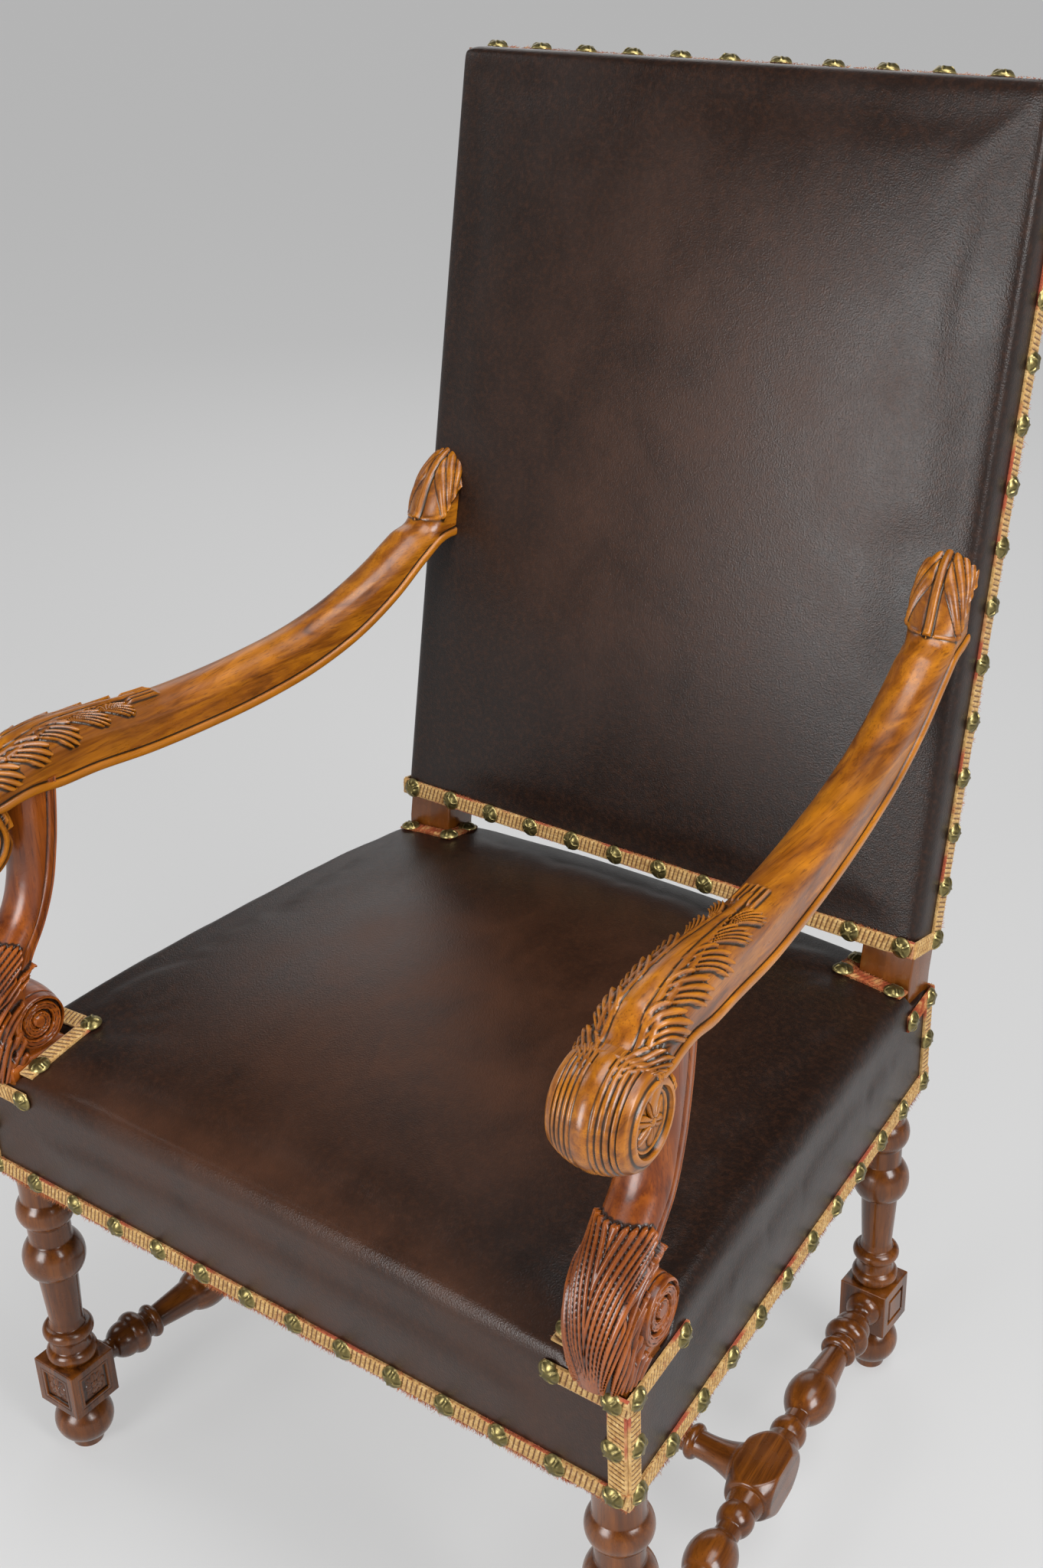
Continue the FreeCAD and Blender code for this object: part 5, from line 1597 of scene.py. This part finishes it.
def slab(a, b):
    """A closed thin shell between two grids of points."""
    rows, cols = a.shape[:2]
    count = rows * cols
    faces = grid_faces(rows, cols)
    faces += [[i + count for i in f] for f in faces]
    border = [i * cols for i in range(rows)] + [(rows - 1) * cols + j for j in range(1, cols)]
    border += [i * cols + cols - 1 for i in range(rows - 2, -1, -1)] + list(range(cols - 2, 0, -1))
    for k, i in enumerate(border):
        j = border[(k + 1) % len(border)]
        faces.append([i, j, j + count, i + count])
    return Shells().add(np.concatenate([a.reshape(-1, 3), b.reshape(-1, 3)]), faces)


def build_covers():
    """The rear cover of the back and the dust cover, thin and a little slack."""
    u, v = grid(np.linspace(-1, 1, 80), np.linspace(0, 1, 100))
    slack = (1 - u ** 2) * np.sin(math.pi * v)
    x = u * back_half
    w = back_low + v * (back_high - back_low)
    sag = np.minimum(1.2 * slack + 0.25 * np.sin(9 * u + 2) * np.sin(11 * v), 1.2)
    front = back_place(np.stack([x, post_depth + 0.1 + 0 * x, w], -1))
    rear = back_place(np.stack([x, cover_face - sag, w], -1))
    piece = make("back_rear_sheet", slab(front, rear), [rear_hide], ["back_rear_cover"],
                 rounds=0, sharp=40)
    mark(piece.data, "wear", np.full(len(piece.data.vertices), 0.3))
    inset = 2.4
    y = inset + v * (seat_depth - 2 * inset)
    x = u * half_width(y, inset)
    under, above = (np.stack([x, y, seat_bottom + lift - 0.9 * slack], -1) for lift in (1.3, 2.3))
    piece = make("dust_cover_sheet", slab(under, above), [dust_cloth], ["seat_dust_cover"],
                 rounds=0, sharp=40)


build_legs()
build_stretchers()
build_arms()
build_supports()
build_seat()
build_back()
build_seat_braid()
build_collars()
build_back_braid()
build_nails()
build_covers()

# Hidden frame timber, which keeps its solids

def planed_wood(name):
    """Plain planed wood with its grain along X."""
    g = Graph(name)
    coords = g.node("TexCoord").outputs["Object"]
    long = g.noise(g.stretched(coords, (0.08, 1.0, 1.0)), 60.0, 5.0, 0.6, 0.7)
    colour = g.ramp(long, (0.3, (0.16, 0.09, 0.045)), (0.5, (0.27, 0.17, 0.09)),
                    (0.72, (0.38, 0.26, 0.15)))
    g.set(Base_Color=colour, Roughness=g.span(long, 0.3, 0.7, 0.6, 0.75))
    g.bump(long, 0.2, 0.0005)
    return g.material


frame_wood = planed_wood("planed_frame")
for node in ("seat_rail_front", "seat_rail_rear", "seat_rail_left", "seat_rail_right", "back_rail_top",
             "back_rail_bottom"):
    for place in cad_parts[node].material_slots:
        place.material = frame_wood


# Camera, floor and light

def photo_camera():
    """The photograph's camera, solved from the chair's own symmetry."""
    azimuth, elevation, turn = math.radians(37.7), math.radians(27.7), math.radians(-2.31)
    aim = np.array([-64.6, 420.6, 579.5])
    distance = 1703.4
    focal_length, picture_height = 2550.7, 2048
    back = np.array([math.sin(azimuth) * math.cos(elevation), -math.cos(azimuth) * math.cos(elevation),
                     math.sin(elevation)])
    right = np.array([math.cos(azimuth), math.sin(azimuth), 0.0])
    up = np.cross(back, right)
    c, s = math.cos(turn), math.sin(turn)
    right, up = right * c + up * s, up * c - right * s
    data = bpy.data.cameras.new("photo_camera")
    data.sensor_width = 36.0
    data.lens = focal_length / picture_height * data.sensor_width
    data.clip_end = 200.0
    obj = linked("photo_camera", data)
    spot = in_row(aim + back * distance)
    obj.matrix_world = Matrix(np.vstack([np.column_stack([right, up, back, spot]), [0, 0, 0, 1]]).tolist())
    bpy.context.scene.camera = obj


def area_light(name, spot, aim, size, power):
    data = bpy.data.lights.new(name, "AREA")
    data.shape = "RECTANGLE"
    data.size = size[0]
    data.size_y = size[1]
    data.energy = power
    obj = linked(name, data)
    obj.location = spot
    obj.rotation_mode = "QUATERNION"
    obj.rotation_quaternion = (Vector(aim) - Vector(spot)).to_track_quat("-Z", "Y")


def pale_floor():
    """A wide floor that looks paler than the light it gives back."""
    g = Graph("pale_floor")
    path = g.node("LightPath").outputs
    seen = g.maths("MAXIMUM", g.maths("MAXIMUM", path["Is Camera Ray"], path["Is Glossy Ray"]),
                   path["Is Transmission Ray"])
    g.set(Base_Color=g.mix(seen, (0.50, 0.50, 0.50), (0.26, 0.26, 0.26)), Roughness=0.8,
          Specular_IOR_Level=0.1, Emission_Color=(1.0, 1.0, 1.0, 1.0),
          Emission_Strength=g.maths("MULTIPLY", seen, 0.43))
    half = 40
    mesh = bpy.data.meshes.new("floor")
    mesh.from_pydata([(-half, -half, 0), (half, -half, 0), (half, half, 0), (-half, half, 0)], [],
                     [(0, 1, 2, 3)])
    mesh.materials.append(g.material)
    linked("floor", mesh)


def studio_world():
    """Even white light, stronger near the horizon than above."""
    world = bpy.data.worlds.new("studio")
    world.use_nodes = True
    tree = world.node_tree
    direction = tree.nodes.new("ShaderNodeTexCoord")
    parts = tree.nodes.new("ShaderNodeSeparateXYZ")
    rise = tree.nodes.new("ShaderNodeMapRange")
    background = tree.nodes["Background"]
    tree.links.new(direction.outputs["Generated"], parts.inputs["Vector"])
    tree.links.new(parts.outputs["Z"], rise.inputs["Value"])
    for socket, value in (("From Min", 0.0), ("From Max", 0.40), ("To Min", 0.40), ("To Max", 0.06)):
        rise.inputs[socket].default_value = value
    tree.links.new(rise.outputs["Result"], background.inputs["Strength"])
    background.inputs["Color"].default_value = (1.0, 1.0, 1.0, 1.0)
    bpy.context.scene.world = world


photo_camera()
pale_floor()
studio_world()
area_light("softbox_front", (-0.25, -2.6, 1.2), (0, 0.1, 0.75), (1.0, 1.5), 50)
area_light("softbox_right", (2.5, -0.5, 1.9), (0, 0, 0.6), (1.1, 1.6), 60)
area_light("softbox_left", (-2.4, -0.6, 2.3), (0, 0, 0.5), (0.9, 1.2), 8)
area_light("softbox_rear", (-1.7, 2.3, 2.0), (0, 0, 0.6), (2.0, 2.0), 15)
area_light("softbox_top", (1.0, 0.1, 3.4), (0, 0, 0.3), (2.0, 2.0), 56)
bpy.context.scene.view_settings.view_transform = "Standard"
